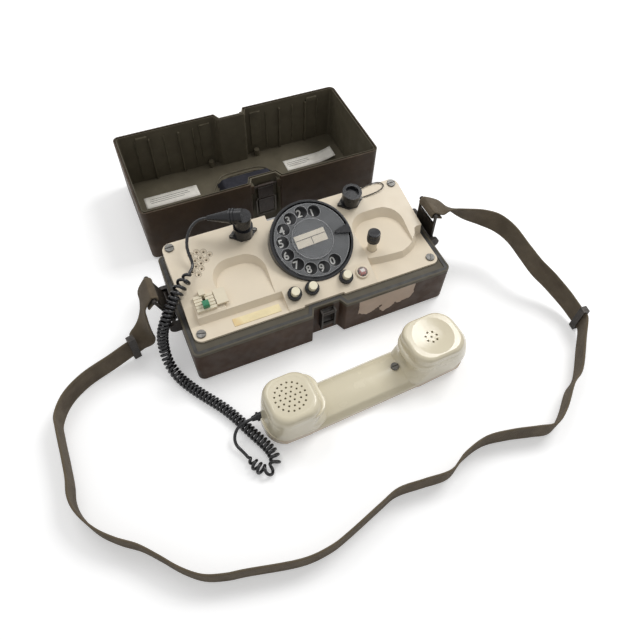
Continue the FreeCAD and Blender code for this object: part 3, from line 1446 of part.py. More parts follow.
def lever():
    """A latch lever hanging from its pin, with the bail's pivot part way down."""
    half = S.lever_width / 2
    plate = box(-half, half, -S.lever_thickness / 2, S.lever_thickness / 2, -S.lever_length, 0)
    tip = [edge for edge in plate.Edges if edge.BoundBox.ZMax < -S.lever_length + 0.01 and
           edge.BoundBox.XLength > half]
    plate = plate.makeFillet(1.2, tip)
    knuckle = cylinder(S.lever_thickness / 2 + 0.6, S.lever_width, Vector(-half, 0, 0), Vector(1, 0, 0))
    reach = S.notch_width / 2 + 1.5
    pin = cylinder(S.lever_pin_radius, 2 * reach, Vector(-reach, 0, 0), Vector(1, 0, 0))
    pivot = cylinder(S.wire_radius + 0.9, S.lever_width, Vector(-half, -0.6, -BAIL_DROP),
                     Vector(1, 0, 0))
    hole = cylinder(S.wire_radius + 0.06, 60, Vector(-30, -0.6, -BAIL_DROP), Vector(1, 0, 0))
    return fused([plate, knuckle, pin, pivot]).cut(hole)


BAIL_DROP = 17.0


def bail():
    """A U of wire whose ends turn into the lever."""
    half = S.bail_width / 2
    inner = S.lever_width / 2 - 4.0
    points = [Vector(-inner, 0, 0), Vector(-half, 0, 0), Vector(-half, 0, -S.bail_length),
              Vector(half, 0, -S.bail_length), Vector(half, 0, 0), Vector(inner, 0, 0)]
    path = rounded_path(points, [0, 2.2, 2.2, 2.2, 2.2, 0])
    profile = Part.Wire(Part.makeCircle(S.wire_radius, points[0], Vector(1, 0, 0)))
    return path.makePipeShell([profile], True, False)


def latch_frames(side):
    """Lever and bail places on the lid's front (side -1) or back (side 1)."""
    turn = Rotation(Vector(0, 0, 1), 0 if side < 0 else 180)
    hub = LID.multiply(Placement(Vector(0, 0, 0), turn))
    lever_place = hub.multiply(Placement(Vector(0, LEVER_Y, S.lever_pin_height), Rotation()))
    bail_place = hub.multiply(Placement(Vector(0, LEVER_Y - 0.6, S.lever_pin_height - BAIL_DROP),
                                        Rotation()))
    return lever_place, bail_place


for name, side in (("front", -1), ("back", 1)):
    lever_place, bail_place = latch_frames(side)
    feature("latch_lever_" + name, lever(), lever_place)
    feature("latch_bail_" + name, bail(), bail_place)


# Cords

def run_radii(points):
    """Each arc's radius: 0.45 of the shorter run over the tangent of half the turn."""
    radii = [0.0]
    for before, point, after in zip(points, points[1:], points[2:]):
        inward = point - before
        outward = after - point
        turn = inward.getAngle(outward)
        radii.append(0.45 * min(inward.Length, outward.Length) / math.tan(turn / 2))
    return radii + [0.0]


def tube(points, diameter, name):
    """A round tube along straight runs joined by tangent arcs."""
    radii = run_radii(points)
    print(name, "radii", [round(radius, 1) for radius in radii[1:-1]])
    path = rounded_path(points, radii)
    direction = points[1] - points[0]
    profile = Part.Wire(Part.makeCircle(diameter / 2, points[0], direction))
    solid = path.makePipeShell([profile], True, False)
    print(name, "volume share", round(solid.Volume / (math.pi * diameter ** 2 / 4 * path.Length), 4))
    return solid


def smooth(points, steps):
    """A Catmull-Rom curve through the points, sampled evenly between each pair."""
    padded = [points[0] * 2 - points[1]] + points + [points[-1] * 2 - points[-2]]
    samples = []
    for index in range(1, len(padded) - 2):
        p0, p1, p2, p3 = padded[index - 1:index + 3]
        for step in range(steps):
            t = step / steps
            samples.append((p1 * 2 + (p2 - p0) * t + (p0 * 2 - p1 * 5 + p2 * 4 - p3) * t ** 2
                            + (p1 * 3 - p0 - p2 * 3 + p3) * t ** 3) * 0.5)
    return samples + [points[-1]]


CAP_LANYARD = [TOP.multVec(point) for point in lanyard()]
feature("cap_lanyard", tube(CAP_LANYARD, 1.1, "lanyard"))

# The curls' middle line: over the faceplate's left edge, down the side, along the ground and back.
COIL_ROUTE = [Vector(*point) for point in (
    (-110.3, 14.5, 69.0), (-113.5, 10.0, 69.5), (-120.5, 3.5, 70.0), (-129.0, -4.5, 68.0),
    (-137.5, -11.5, 62.5), (-145.5, -17.5, 53.5), (-151.5, -20.5, 42.5), (-154.5, -23.0, 31.5),
    (-156.2, -28.0, 21.8), (-156.4, -35.5, 13.8), (-154.6, -45.0, 8.2), (-150.5, -55.5, 5.8),
    (-145.0, -66.0, 5.7), (-138.5, -76.5, 5.7), (-131.0, -87.5, 5.7), (-123.5, -98.5, 5.7),
    (-117.5, -109.5, 5.7), (-112.0, -121.5, 5.7), (-107.0, -133.5, 5.7), (-101.8, -144.5, 5.7),
    (-97.6, -155.0, 5.7), (-97.0, -165.0, 5.7), (-103.5, -172.5, 5.7), (-112.0, -168.5, 5.7),
    (-116.0, -159.5, 5.7), (-119.5, -150.5, 5.7))]


def coil_pitch(share, bend):
    """Stretched curls at the start, tight ones along the case; a bend spreads them as it needs."""
    if share < 0.035:
        pitch = 8.5
    elif share < 0.12:
        pitch = 8.5 - (8.5 - S.curl_pitch) * (share - 0.035) / 0.085
    else:
        pitch = S.curl_pitch + 3.0 * max(0.0, (share - 0.93) / 0.07)
    return max(pitch, (S.wire_diameter + S.curl_gap) * bend / (bend - S.coil_radius))


def bend_radius(before, point, after):
    """The radius of the circle through three points, at most 500."""
    area = (point - before).cross(after - point).Length / 2
    sides = (point - before).Length * (after - point).Length * (after - before).Length
    return min(sides / (4 * max(area, 1e-9)), 500.0)


def coil_points():
    """Points and directions of the wire, four to a turn, from the route's own arc length."""
    line = smooth(COIL_ROUTE, 40)
    lengths = [0.0]
    for first, second in zip(line, line[1:]):
        lengths.append(lengths[-1] + (second - first).Length)
    total = lengths[-1]
    reach = 12
    last = len(line) - 1 - reach
    bends = [bend_radius(line[i - reach], line[i], line[i + reach])
             for i in (min(max(index, reach), last) for index in range(len(line)))]
    normal = Vector(0, 0, 1)
    frames = []
    for index, point in enumerate(line):
        ahead = line[min(index + 1, len(line) - 1)] - line[max(index - 1, 0)]
        ahead.normalize()
        normal = (normal - ahead * normal.dot(ahead)).normalize()
        frames.append((point, ahead, normal, ahead.cross(normal)))

    def frame_at(distance):
        distance = min(max(distance, 0.0), total)
        index = max(i for i in range(len(lengths) - 1) if lengths[i] <= distance + 1e-9)
        part = (distance - lengths[index]) / max(lengths[index + 1] - lengths[index], 1e-9)
        low, high = frames[index], frames[index + 1]
        return [a + (b - a) * part for a, b in zip(low, high)]

    def wire_at(distance, angle):
        point, _, normal, side = frame_at(distance)
        grow = max(min(distance / S.curl_rise, (total - distance) / S.curl_rise, 1.0), 0.0)
        grow = grow * grow * (3 - 2 * grow)
        radius = S.coil_radius * grow * (1.0 + 0.35 * max(0.0, 1 - distance / 45.0))
        return point + normal * (radius * math.cos(angle)) + side * (radius * math.sin(angle))

    def tightest(distance):
        """The sharpest bend within half a curl of a place on the route."""
        return min(bend for bend, length in zip(bends, lengths) if abs(length - distance) < 3.0)

    samples = []
    distance, angle = 0.0, 1.2
    while distance < total:
        samples.append((distance, angle))
        step = coil_pitch(distance / total, tightest(distance)) / 4
        distance += step
        angle += math.pi / 2
    share = (total - samples[-1][0]) / step
    if share > 0.3:
        samples.append((total, samples[-1][1] + share * math.pi / 2))
    else:
        samples[-1] = (total, samples[-1][1])
    points = [wire_at(d, a) for d, a in samples]
    tangents = []
    for index, (d, a) in enumerate(samples):
        before = samples[max(index - 1, 0)]
        after = samples[min(index + 1, len(samples) - 1)]
        slope = (after[1] - before[1]) / (after[0] - before[0])
        ahead = min(d + 0.01, total)
        behind = max(d - 0.01, 0.0)
        tangents.append((wire_at(ahead, a + slope * (ahead - d)) - wire_at(behind, a + slope *
                                                                            (behind - d))).normalize())
    return points, tangents


def biarc(start, start_way, end, end_way):
    """Two tangent arcs between two points with directions."""
    chord = end - start
    both = start_way + end_way
    square = 2 * (1 - start_way.dot(end_way))
    if square < 1e-9:
        reach = chord.Length ** 2 / (4 * chord.dot(start_way))
    else:
        reach = (-chord.dot(both) + math.sqrt(chord.dot(both) ** 2 + square * chord.dot(chord))) / square
    first = start + start_way * reach
    last = end - end_way * reach
    middle = (first + last) * 0.5
    edges = []
    for near, corner, far in ((start, first, middle), (middle, last, end)):
        back = (near - corner).normalize()
        ahead = (far - corner).normalize()
        half = back.getAngle(ahead) / 2
        if abs(math.pi / 2 - half) < 1e-4:
            edges.append(Part.LineSegment(near, far).toShape())
            continue
        radius = reach * math.tan(half)
        top = corner + (back + ahead).normalize() * (radius / math.sin(half) - radius)
        edges.append(Part.Arc(near, top, far).toShape())
    return edges


def cord_coil():
    points, tangents = coil_points()
    edges = []
    for index in range(len(points) - 1):
        edges += biarc(points[index], tangents[index], points[index + 1], tangents[index + 1])
    path = Part.Wire(edges)
    profile = Part.Wire(Part.makeCircle(S.wire_diameter / 2, points[0], tangents[0]))
    solid = path.makePipeShell([profile], True, False)
    print("coil turns", round(len(points) / 4, 1), "length", round(path.Length, 1), "volume share",
          round(solid.Volume / (math.pi * S.wire_diameter ** 2 / 4 * path.Length), 4))
    fine = path.discretize(Distance=0.6)
    least, place = min(((other - point).Length, index) for index, point in enumerate(fine)
                       for other in fine[index + 14:index + 160])
    print("coil least gap", round(least - S.wire_diameter, 2), "at", fine[place])
    return solid, points, tangents


coil_solid, coil_ends, coil_ways = cord_coil()
feature("cord_coil", coil_solid)

# The lead leaves the boot, falls to the faceplate's left edge and meets the first curl.
LEAD = [BOOT_END, BOOT_END + BOOT_AXIS * 7, Vector(-95.0, 52.5, 87.5), Vector(-102.5, 44.5, 83.5),
        Vector(-107.0, 34.0, 77.5), coil_ends[0] - coil_ways[0] * 9, coil_ends[0]]
feature("cord_lead", tube(LEAD, S.wire_diameter, "lead"))

# The tail runs from the last curl round into the handset's gland.
TAIL = [coil_ends[-1], coil_ends[-1] + coil_ways[-1] * 6, Vector(-125.0, -138.0, 6.5),
        Vector(-123.5, -131.0, 10.0), Vector(-118.5, -126.5, 14.0), GLAND_END + GLAND_AXIS * 7, GLAND_END]
feature("cord_tail", tube(TAIL, S.wire_diameter, "tail"))
print("lead", LEAD)
print("tail", TAIL)


# Check every piece and write its file

doc.recompute()
for item in doc.Objects:
    if "Invalid" in item.State or "Error" in item.State:
        raise RuntimeError(f"{item.Label} failed: {item.State}")
os.makedirs("parts", exist_ok=True)
failed = [piece.Label for piece in pieces
          if piece.Shape.isNull() or not piece.Shape.isValid() or not piece.Shape.Solids]
if failed:
    raise RuntimeError("no valid solid: " + ", ".join(failed))
for piece in pieces:
    piece.Shape.exportStep(f"parts/{piece.Label}.step")
print(len(pieces), "pieces")
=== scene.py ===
import math

import bmesh
import bpy
from mathutils import Matrix, Vector


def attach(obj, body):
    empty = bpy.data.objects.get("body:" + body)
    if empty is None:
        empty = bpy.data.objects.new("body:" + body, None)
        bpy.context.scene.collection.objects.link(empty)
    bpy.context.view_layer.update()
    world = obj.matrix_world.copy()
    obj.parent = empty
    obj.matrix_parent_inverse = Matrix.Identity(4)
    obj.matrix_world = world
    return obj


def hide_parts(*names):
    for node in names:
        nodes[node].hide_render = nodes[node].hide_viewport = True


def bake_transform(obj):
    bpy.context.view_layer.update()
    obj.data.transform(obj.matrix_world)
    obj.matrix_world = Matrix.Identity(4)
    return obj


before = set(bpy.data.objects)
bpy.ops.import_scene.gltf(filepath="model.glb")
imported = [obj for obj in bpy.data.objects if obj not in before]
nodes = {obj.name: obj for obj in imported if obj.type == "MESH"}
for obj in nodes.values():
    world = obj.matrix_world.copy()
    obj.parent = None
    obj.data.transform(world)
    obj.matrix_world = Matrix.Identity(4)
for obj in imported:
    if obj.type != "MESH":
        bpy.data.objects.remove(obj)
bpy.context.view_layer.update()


# Lower case: a deep open tray in dark brown moulded plastic, scuffed, its edges paled partly by
# wear and partly by a painted highlight.
# Its stepped ledge is grey-olive and carries a near-black rubber gasket; two dark steel catches for
# the lid's bails are let into its front and back walls.

def moulded(name, colour, roughness=0.45, vary=0.08, patch=0.02, grain=0.0006, bump=0.05,
            metallic=0.0, coat=0.0, specular=0.5, worn_and_highlit_edge=None, worn_and_highlit_width=0.0008, dirt=None):
    """A moulded or metal surface: uneven colour, uneven gloss, fine grain, and edges paled partly
    by wear, partly by painted highlight.
    """
    material = bpy.data.materials.new(name)
    material.use_nodes = True
    tree = material.node_tree
    shader = tree.nodes["Principled BSDF"]
    shader.inputs["Metallic"].default_value = metallic
    shader.inputs["Coat Weight"].default_value = coat
    shader.inputs["Coat Roughness"].default_value = 0.12
    shader.inputs["Specular IOR Level"].default_value = specular
    place = tree.nodes.new("ShaderNodeTexCoord").outputs["Object"]

    def cloud(size, detail=4.0):
        node = tree.nodes.new("ShaderNodeTexNoise")
        node.inputs["Scale"].default_value = 1.0 / size
        node.inputs["Detail"].default_value = detail
        tree.links.new(place, node.inputs["Vector"])
        return node.outputs["Fac"]

    def ramp(source, low, high, first=0.35, last=0.65):
        node = tree.nodes.new("ShaderNodeMapRange")
        node.inputs["From Min"].default_value = first
        node.inputs["From Max"].default_value = last
        node.inputs["To Min"].default_value = low
        node.inputs["To Max"].default_value = high
        tree.links.new(source, node.inputs["Value"])
        return node.outputs["Result"]

    dark = [c * (1 - vary) for c in colour]
    light = [min(c * (1 + vary), 1.0) for c in colour]
    shade = mixed(tree, ramp(cloud(patch), 0, 1), dark, light)
    shade = mixed(tree, ramp(cloud(patch / 7, 6.0), 0, 0.35), shade, dark)
    if dirt:
        shade = mixed(tree, ramp(cloud(patch * 1.7, 8.0), 0, 0.6, 0.52, 0.72), shade, dirt)
    # Pale band along the edges from a bevel mask: part rubbed wear, part painted highlight.
    if worn_and_highlit_edge:
        bevel = tree.nodes.new("ShaderNodeBevel")
        bevel.samples = 4
        bevel.inputs["Radius"].default_value = worn_and_highlit_width
        plain = tree.nodes.new("ShaderNodeNewGeometry")
        dot = tree.nodes.new("ShaderNodeVectorMath")
        dot.operation = "DOT_PRODUCT"
        tree.links.new(bevel.outputs[0], dot.inputs[0])
        tree.links.new(plain.outputs["Normal"], dot.inputs[1])
        edge = ramp(dot.outputs["Value"], 0.8, 0.0, 0.75, 0.985)
        broken = arithmetic(tree, "MULTIPLY", edge, ramp(cloud(0.006, 6.0), 0.15, 1.0, 0.4, 0.6))
        shade = mixed(tree, broken, shade, worn_and_highlit_edge)
    tree.links.new(shade, shader.inputs["Base Color"])
    tree.links.new(ramp(cloud(patch / 3, 5.0), max(roughness - 0.08, 0.04), roughness + 0.1),
                   shader.inputs["Roughness"])
    height = tree.nodes.new("ShaderNodeBump")
    height.inputs["Strength"].default_value = bump
    height.inputs["Distance"].default_value = 0.0004
    tree.links.new(cloud(grain, 3.0), height.inputs["Height"])
    tree.links.new(height.outputs["Normal"], shader.inputs["Normal"])
    return material


def mixed(tree, factor, first, second):
    node = tree.nodes.new("ShaderNodeMix")
    node.data_type = "RGBA"
    tree.links.new(factor, node.inputs[0])
    for socket, value in ((node.inputs[6], first), (node.inputs[7], second)):
        if isinstance(value, (tuple, list)):
            socket.default_value = (*value[:3], 1.0)
        else:
            tree.links.new(value, socket)
    return node.outputs[2]


def arithmetic(tree, operation, *values):
    node = tree.nodes.new("ShaderNodeMath")
    node.operation = operation
    for socket, value in zip(node.inputs, values):
        if isinstance(value, (int, float)):
            socket.default_value = value
        else:
            tree.links.new(value, socket)
    return node.outputs[0]


def tint_within(material, low, high, colour, vary=0.2, ragged=(0, 0, 0)):
    """Give what lies inside a box another colour; ragged says how far its limits wander."""
    tree = material.node_tree
    shader = tree.nodes["Principled BSDF"]
    base = shader.inputs["Base Color"].links[0].from_socket
    place = tree.nodes.new("ShaderNodeTexCoord").outputs["Object"]
    split = tree.nodes.new("ShaderNodeSeparateXYZ")
    tree.links.new(place, split.inputs[0])
    cloud = tree.nodes.new("ShaderNodeTexNoise")
    cloud.inputs["Scale"].default_value = 70
    cloud.inputs["Detail"].default_value = 8
    tree.links.new(place, cloud.inputs["Vector"])
    wander = arithmetic(tree, "SUBTRACT", cloud.outputs["Fac"], 0.5)
    inside = 1.0
    for axis in range(3):
        value = split.outputs[axis]
        if ragged[axis]:
            value = arithmetic(tree, "MULTIPLY_ADD", wander, ragged[axis], value)
        middle, half = (low[axis] + high[axis]) / 2, (high[axis] - low[axis]) / 2
        within = arithmetic(tree, "COMPARE", value, middle, half)
        inside = arithmetic(tree, "MULTIPLY", within, inside)
    shades = mixed(tree, cloud.outputs["Fac"], [c * (1 - vary) for c in colour],
                   [min(c * (1 + vary), 1) for c in colour])
    tree.links.new(mixed(tree, inside, base, shades), shader.inputs["Base Color"])


def paint(material, *names):
    for name in names:
        nodes[name].data.materials.clear()
        nodes[name].data.materials.append(material)


BROWN = (0.050, 0.026, 0.014)
OLIVE_GREY = (0.085, 0.074, 0.052)
case_brown = moulded("case_brown", BROWN, 0.5, vary=0.18, patch=0.03, bump=0.12, specular=0.25,
                     worn_and_highlit_edge=(0.16, 0.12, 0.08), dirt=(0.075, 0.045, 0.028))
tint_within(case_brown, (0.031, -0.07, 0.021), (0.093, -0.0621, 0.06), (0.47, 0.37, 0.30),
            ragged=(0.008, 0, 0.045))
tint_within(case_brown, (-0.2, -0.1, 0.0425), (0.2, 0.1, 0.05), OLIVE_GREY)
gasket_black = moulded("gasket_black", (0.028, 0.026, 0.023), 0.55, vary=0.15)
dark_steel = moulded("dark_steel", (0.026, 0.021, 0.017), 0.45, vary=0.25, patch=0.006,
                     metallic=0.4, bump=0.2, worn_and_highlit_edge=(0.15, 0.13, 0.11), dirt=(0.05, 0.04, 0.03))
paint(case_brown, "base_shell")
paint(gasket_black, "base_gasket")
paint(dark_steel, "base_catches")


# Inner works: a circuit board, line transformer, four sleeved cells, sounder and hook switch, all
# screwed to the floor of the case, with the dial's brass train above them.

board_green = moulded("board_green", (0.03, 0.09, 0.04), 0.5)
iron = moulded("iron", (0.09, 0.09, 0.09), 0.5, metallic=0.6)
cell_sleeve = moulded("cell_sleeve", (0.10, 0.11, 0.16), 0.4, metallic=0.3)
brass = moulded("brass", (0.55, 0.42, 0.2), 0.35, metallic=1.0, patch=0.006)
black_plate = moulded("black_plate", (0.012, 0.012, 0.014), 0.5, vary=0.2)
paint(board_green, "circuit_board")
paint(iron, "transformer", "sounder", "transmitter_capsule", "receiver_capsule")
paint(cell_sleeve, "battery_cells")
paint(brass, "dial_spindle", "dial_mechanism", "pulse_cam")
paint(black_plate, "hook_switch")


# Faceplate: one cream moulding with a sloping top and a front band, held by four cheese-head
# screws. A fine dark ring of painted shade marks the edge of each sound hole's countersink, and a
# yellowed paper label lies in the front ledge.

MM = 0.001
TOP_LEAN = math.atan2(13.8, 82.3)
BAND_LEAN = math.atan2(7.7, 23.0)
TOP_SLOPE = Matrix.Translation((0, -0.027, 0.0552)) @ Matrix.Rotation(TOP_LEAN, 4, "X")
FRONT_BAND = Matrix.Translation((0, -0.050, 0.0475)) @ Matrix.Rotation(BAND_LEAN, 4, "X")
cream = moulded("cream_plastic", (0.74, 0.645, 0.50), 0.36, vary=0.03, patch=0.05, bump=0.06,
                specular=0.4, worn_and_highlit_edge=(0.80, 0.73, 0.62), worn_and_highlit_width=0.0005, dirt=(0.58, 0.50, 0.38))
screw_steel = moulded("screw_steel", (0.17, 0.165, 0.155), 0.4, vary=0.25, patch=0.004,
                      metallic=0.75, bump=0.2, dirt=(0.07, 0.065, 0.05))
yellow_paper = moulded("yellow_label", (0.82, 0.70, 0.42), 0.6, vary=0.06, patch=0.012,
                       dirt=(0.70, 0.46, 0.18))
paint(cream, "faceplate")
paint(screw_steel, "panel_screws")
paint(yellow_paper, "label_plate")


def add_object(name, data):
    piece = bpy.data.objects.new(name, data)
    bpy.context.scene.collection.objects.link(piece)
    return piece


def node_tree(name, sizes, material):
    """The common part of a Geometry Nodes tree that sets one shape on every vertex."""
    tree = bpy.data.node_groups.new(name, "GeometryNodeTree")
    tree.interface.new_socket("Geometry", in_out="INPUT", socket_type="NodeSocketGeometry")
    tree.interface.new_socket("Geometry", in_out="OUTPUT", socket_type="NodeSocketGeometry")
    keys = {}
    for label, value in sizes.items():
        kind = "NodeSocketInt" if isinstance(value, int) else "NodeSocketFloat"
        keys[label] = tree.interface.new_socket(label, in_out="INPUT", socket_type=kind).identifier
    start = tree.nodes.new("NodeGroupInput")
    end = tree.nodes.new("NodeGroupOutput")
    instances = tree.nodes.new("GeometryNodeInstanceOnPoints")
    realize = tree.nodes.new("GeometryNodeRealizeInstances")
    finish = tree.nodes.new("GeometryNodeSetMaterial")
    finish.inputs["Material"].default_value = material
    tree.links.new(start.outputs["Geometry"], instances.inputs["Points"])
    tree.links.new(instances.outputs["Instances"], realize.inputs["Geometry"])
    tree.links.new(realize.outputs["Geometry"], finish.inputs["Geometry"])
    tree.links.new(finish.outputs["Geometry"], end.inputs["Geometry"])
    return tree, keys, start, instances


def ring_tree(name, sizes, material):
    """A ring of round wire, flat in the frame, on every point."""
    tree, keys, start, instances = node_tree(name, sizes, material)
    around = tree.nodes.new("GeometryNodeCurvePrimitiveCircle")
    around.inputs["Resolution"].default_value = 40
    wire = tree.nodes.new("GeometryNodeCurvePrimitiveCircle")
    wire.inputs["Resolution"].default_value = 8
    sweep = tree.nodes.new("GeometryNodeCurveToMesh")
    tree.links.new(start.outputs["Ring radius"], around.inputs["Radius"])
    tree.links.new(start.outputs["Wire radius"], wire.inputs["Radius"])
    tree.links.new(around.outputs["Curve"], sweep.inputs["Curve"])
    tree.links.new(wire.outputs["Curve"], sweep.inputs["Profile Curve"])
    tree.links.new(sweep.outputs["Mesh"], instances.inputs["Instance"])
    return tree, keys


def flute_tree(name, sizes, material):
    """A circle of upright round ribs on every point."""
    tree, keys, start, instances = node_tree(name, sizes, material)
    around = tree.nodes.new("GeometryNodeMeshCircle")
    rib = tree.nodes.new("GeometryNodeMeshCylinder")
    rib.inputs["Vertices"].default_value = 8
    ribs = tree.nodes.new("GeometryNodeInstanceOnPoints")
    tree.links.new(start.outputs["Ribs"], around.inputs["Vertices"])
    tree.links.new(start.outputs["Circle radius"], around.inputs["Radius"])
    tree.links.new(start.outputs["Rib radius"], rib.inputs["Radius"])
    tree.links.new(start.outputs["Height"], rib.inputs["Depth"])
    tree.links.new(around.outputs["Mesh"], ribs.inputs["Points"])
    tree.links.new(rib.outputs["Mesh"], ribs.inputs["Instance"])
    tree.links.new(ribs.outputs["Instances"], instances.inputs["Instance"])
    return tree, keys


def repeated(name, make_tree, sizes, points, place, material, body):
    """The tree's shape on every point of a frame, as a plain mesh that moves with a body."""
    seeds = bpy.data.meshes.new(name + "_points")
    seeds.from_pydata([Vector(point) * MM for point in points], [], [])
    source = add_object(name + "_source", seeds)
    tree, keys = make_tree(name + "_nodes", sizes, material)
    modifier = source.modifiers.new("repeat", "NODES")
    modifier.node_group = tree
    for label, value in sizes.items():
        modifier[keys[label]] = value
    bpy.context.view_layer.update()
    evaluated = source.evaluated_get(bpy.context.evaluated_depsgraph_get())
    shape = bpy.data.meshes.new_from_object(evaluated)
    source.modifiers.remove(modifier)
    bpy.data.objects.remove(source)
    shape.transform(place)
    for face in shape.polygons:
        face.use_smooth = True
    if not shape.materials:
        shape.materials.append(material)
    piece = add_object(name, shape)
    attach(piece, body)
    return piece


SOUND_HOLES = ((-104.1, 63.8), (-98.0, 65.4), (-91.6, 63.7), (-87.1, 58.9), (-96.3, 58.6),
               (-102.2, 57.0), (-92.0, 54.3), (-97.8, 52.4), (-103.4, 50.8), (-99.2, 46.5),
               (-108.4, 46.0), (-103.8, 41.2))
# A dark wire ring of painted shade on each sound hole's countersink edge.
countersink_shade = moulded("countersink_shade_ring", (0.30, 0.25, 0.18), 0.6, vary=0.2)
repeated("sound_hole_rings", ring_tree, {"Ring radius": 2.95 * MM, "Wire radius": 0.16 * MM},
         [(x, run, 0.0) for x, run in SOUND_HOLES], TOP_SLOPE, countersink_shade, "base")


# Selector and flat key: a stepped cream block with a green sliding knob, and a spring-back cream
# key beside it; both are clipped into the left end of the panel.

key_cream = moulded("key_cream", (0.74, 0.66, 0.50), 0.4, vary=0.03)
green = moulded("green_knob", (0.008, 0.20, 0.085), 0.3, vary=0.08, coat=0.2)
paint(key_cream, "selector_block", "flat_key")
paint(green, "selector_knob")


# Push buttons and call indicator: cream caps in black fluted collars along the front band, and a
# small drum, red with a white middle, that turns under a clear dome in a cream bezel.

black_gloss = moulded("black_gloss", (0.010, 0.010, 0.012), 0.22, vary=0.2, bump=0.03)
cap_cream = moulded("cap_cream", (0.83, 0.77, 0.58), 0.3, vary=0.03, coat=0.2)
BUTTON_X = (-26.2, -8.2, 27.8)
BUTTON_RUN = 14.6
paint(black_gloss, "button_collars")
paint(cap_cream, "button_left", "button_middle", "button_right")
repeated("collar_flutes", flute_tree,
         {"Ribs": 28, "Circle radius": 6.65 * MM, "Rib radius": 0.42 * MM, "Height": 3.6 * MM},
         [(x, BUTTON_RUN, 2.2) for x in BUTTON_X], FRONT_BAND, black_gloss, "base")


def clear_plastic(name, colour, alpha, roughness):
    """See-through plastic with a slight tint and fine scratches."""
    material = moulded(name, colour, roughness, vary=0.1, patch=0.01, bump=0.04, specular=0.6)
    shader = material.node_tree.nodes["Principled BSDF"]
    shader.inputs["Alpha"].default_value = alpha
    shader.inputs["IOR"].default_value = 1.49
    return material


lens_clear = clear_plastic("lens_clear", (0.9, 0.88, 0.86), 0.16, 0.05)
flag_red = moulded("red_flag", (0.48, 0.045, 0.03), 0.4)
FLAG_CENTRE = FRONT_BAND @ Vector((45.8 * MM, BUTTON_RUN * MM, 0))
WHITE_HALF = 0.0021
tint_within(flag_red, (FLAG_CENTRE.x - WHITE_HALF, FLAG_CENTRE.y - WHITE_HALF, 0),
            (FLAG_CENTRE.x + WHITE_HALF, FLAG_CENTRE.y + WHITE_HALF, 0.2),
            (0.82, 0.80, 0.76), vary=0.03)
paint(cream, "indicator_bezel")
paint(lens_clear, "indicator_lens")
paint(flag_red, "indicator_flag")


# Hook plunger: a black knurled head on a cream stalk, which the resting handset presses down.

HEAD_FOOT = 67.1
plunger_black = moulded("plunger_black", (0.012, 0.012, 0.014), 0.28, vary=0.2, bump=0.04)
tint_within(plunger_black, (0, -0.1, 0.03), (0.1, 0.1, HEAD_FOOT * MM), (0.72, 0.63, 0.48),
            vary=0.05)
paint(plunger_black, "hook_plunger")
repeated("plunger_knurl", flute_tree,
         {"Ribs": 30, "Circle radius": 6.2 * MM, "Rib radius": 0.32 * MM, "Height": 6.0 * MM},
         [(67.3, -14.0, 71.5)], Matrix.Identity(4), plunger_black, "hook_plunger")


# Dial: a black housing with a numbered plate, a smoky clear finger wheel with ten holes, and a
# clear centre disc over a ruled paper card. The finger stop is a flat black blade on the rim.

DIAL_LEAN = math.radians(24)
DIAL_PLACE = Matrix.Translation((0.0098, 0.0055, 0.072)) @ Matrix.Rotation(DIAL_LEAN, 4, "X")
HOLE_CIRCLE = 29.5
FIRST_HOLE = 65.9
HOLE_STEP = 25.8
smoky = clear_plastic("smoky_wheel", (0.17, 0.175, 0.18), 0.62, 0.14)
clear = clear_plastic("clear_disc", (0.34, 0.35, 0.36), 0.12, 0.06)
card_paper = moulded("card_paper", (0.88, 0.80, 0.66), 0.65, vary=0.04, patch=0.01)
white_ink = moulded("white_ink", (0.88, 0.87, 0.83), 0.5, vary=0.03)
# Pale semi-clear rings painted as highlights on the edges of the finger holes, the centre disc and
# the wheel.
painted_rim_highlight = clear_plastic("painted_rim_highlight", (0.50, 0.50, 0.51), 0.55, 0.1)
paint(black_gloss, "dial_housing", "dial_finger_stop")
paint(black_plate, "dial_number_plate")
paint(smoky, "finger_wheel")
paint(clear, "dial_centre")
paint(card_paper, "dial_card")


def hole_centre(number, height):
    angle = math.radians(FIRST_HOLE + HOLE_STEP * number)
    return HOLE_CIRCLE * math.cos(angle), HOLE_CIRCLE * math.sin(angle), height


# Painted highlights round each finger hole and along the rims of the centre disc and the wheel.
repeated("finger_hole_edges", ring_tree, {"Ring radius": 6.55 * MM, "Wire radius": 0.24 * MM},
         [hole_centre(number, 0.0) for number in range(10)], DIAL_PLACE, painted_rim_highlight, "dial")
repeated("disc_edge", ring_tree, {"Ring radius": 20.6 * MM, "Wire radius": 0.22 * MM},
         [(0, 0, 3.1)], DIAL_PLACE, painted_rim_highlight, "dial")
repeated("wheel_edge", ring_tree, {"Ring radius": 37.2 * MM, "Wire radius": 0.2 * MM},
         [(0, 0, -0.05)], DIAL_PLACE, painted_rim_highlight, "dial")


NUMERAL_SIZE = 0.0108
NUMERAL_HALF_DEPTH = 0.00006
NUMERAL_LEVEL = -0.00692
NUMERAL_SHIFT = (-0.3, 0.9)


def meshed(source):
    """The mesh of a curve or text object, which is then deleted."""
    bpy.context.view_layer.update()
    mesh = bpy.data.meshes.new_from_object(source)
    bpy.data.objects.remove(source)
    return mesh


def numeral(text, x, y):
    """A figure on the number plate; past 0.025 its swelling leaves the 9 half empty."""
    curve = bpy.data.curves.new("numeral_" + text, "FONT")
    curve.body = text
    curve.size = NUMERAL_SIZE
    curve.offset = NUMERAL_SIZE * 0.022
    curve.extrude = NUMERAL_HALF_DEPTH
    curve.align_x = "CENTER"
    curve.align_y = "CENTER"
    mesh = meshed(add_object("numeral_source", curve))
    mesh.transform(DIAL_PLACE @ Matrix.Translation((x, y, NUMERAL_LEVEL)))
    return mesh


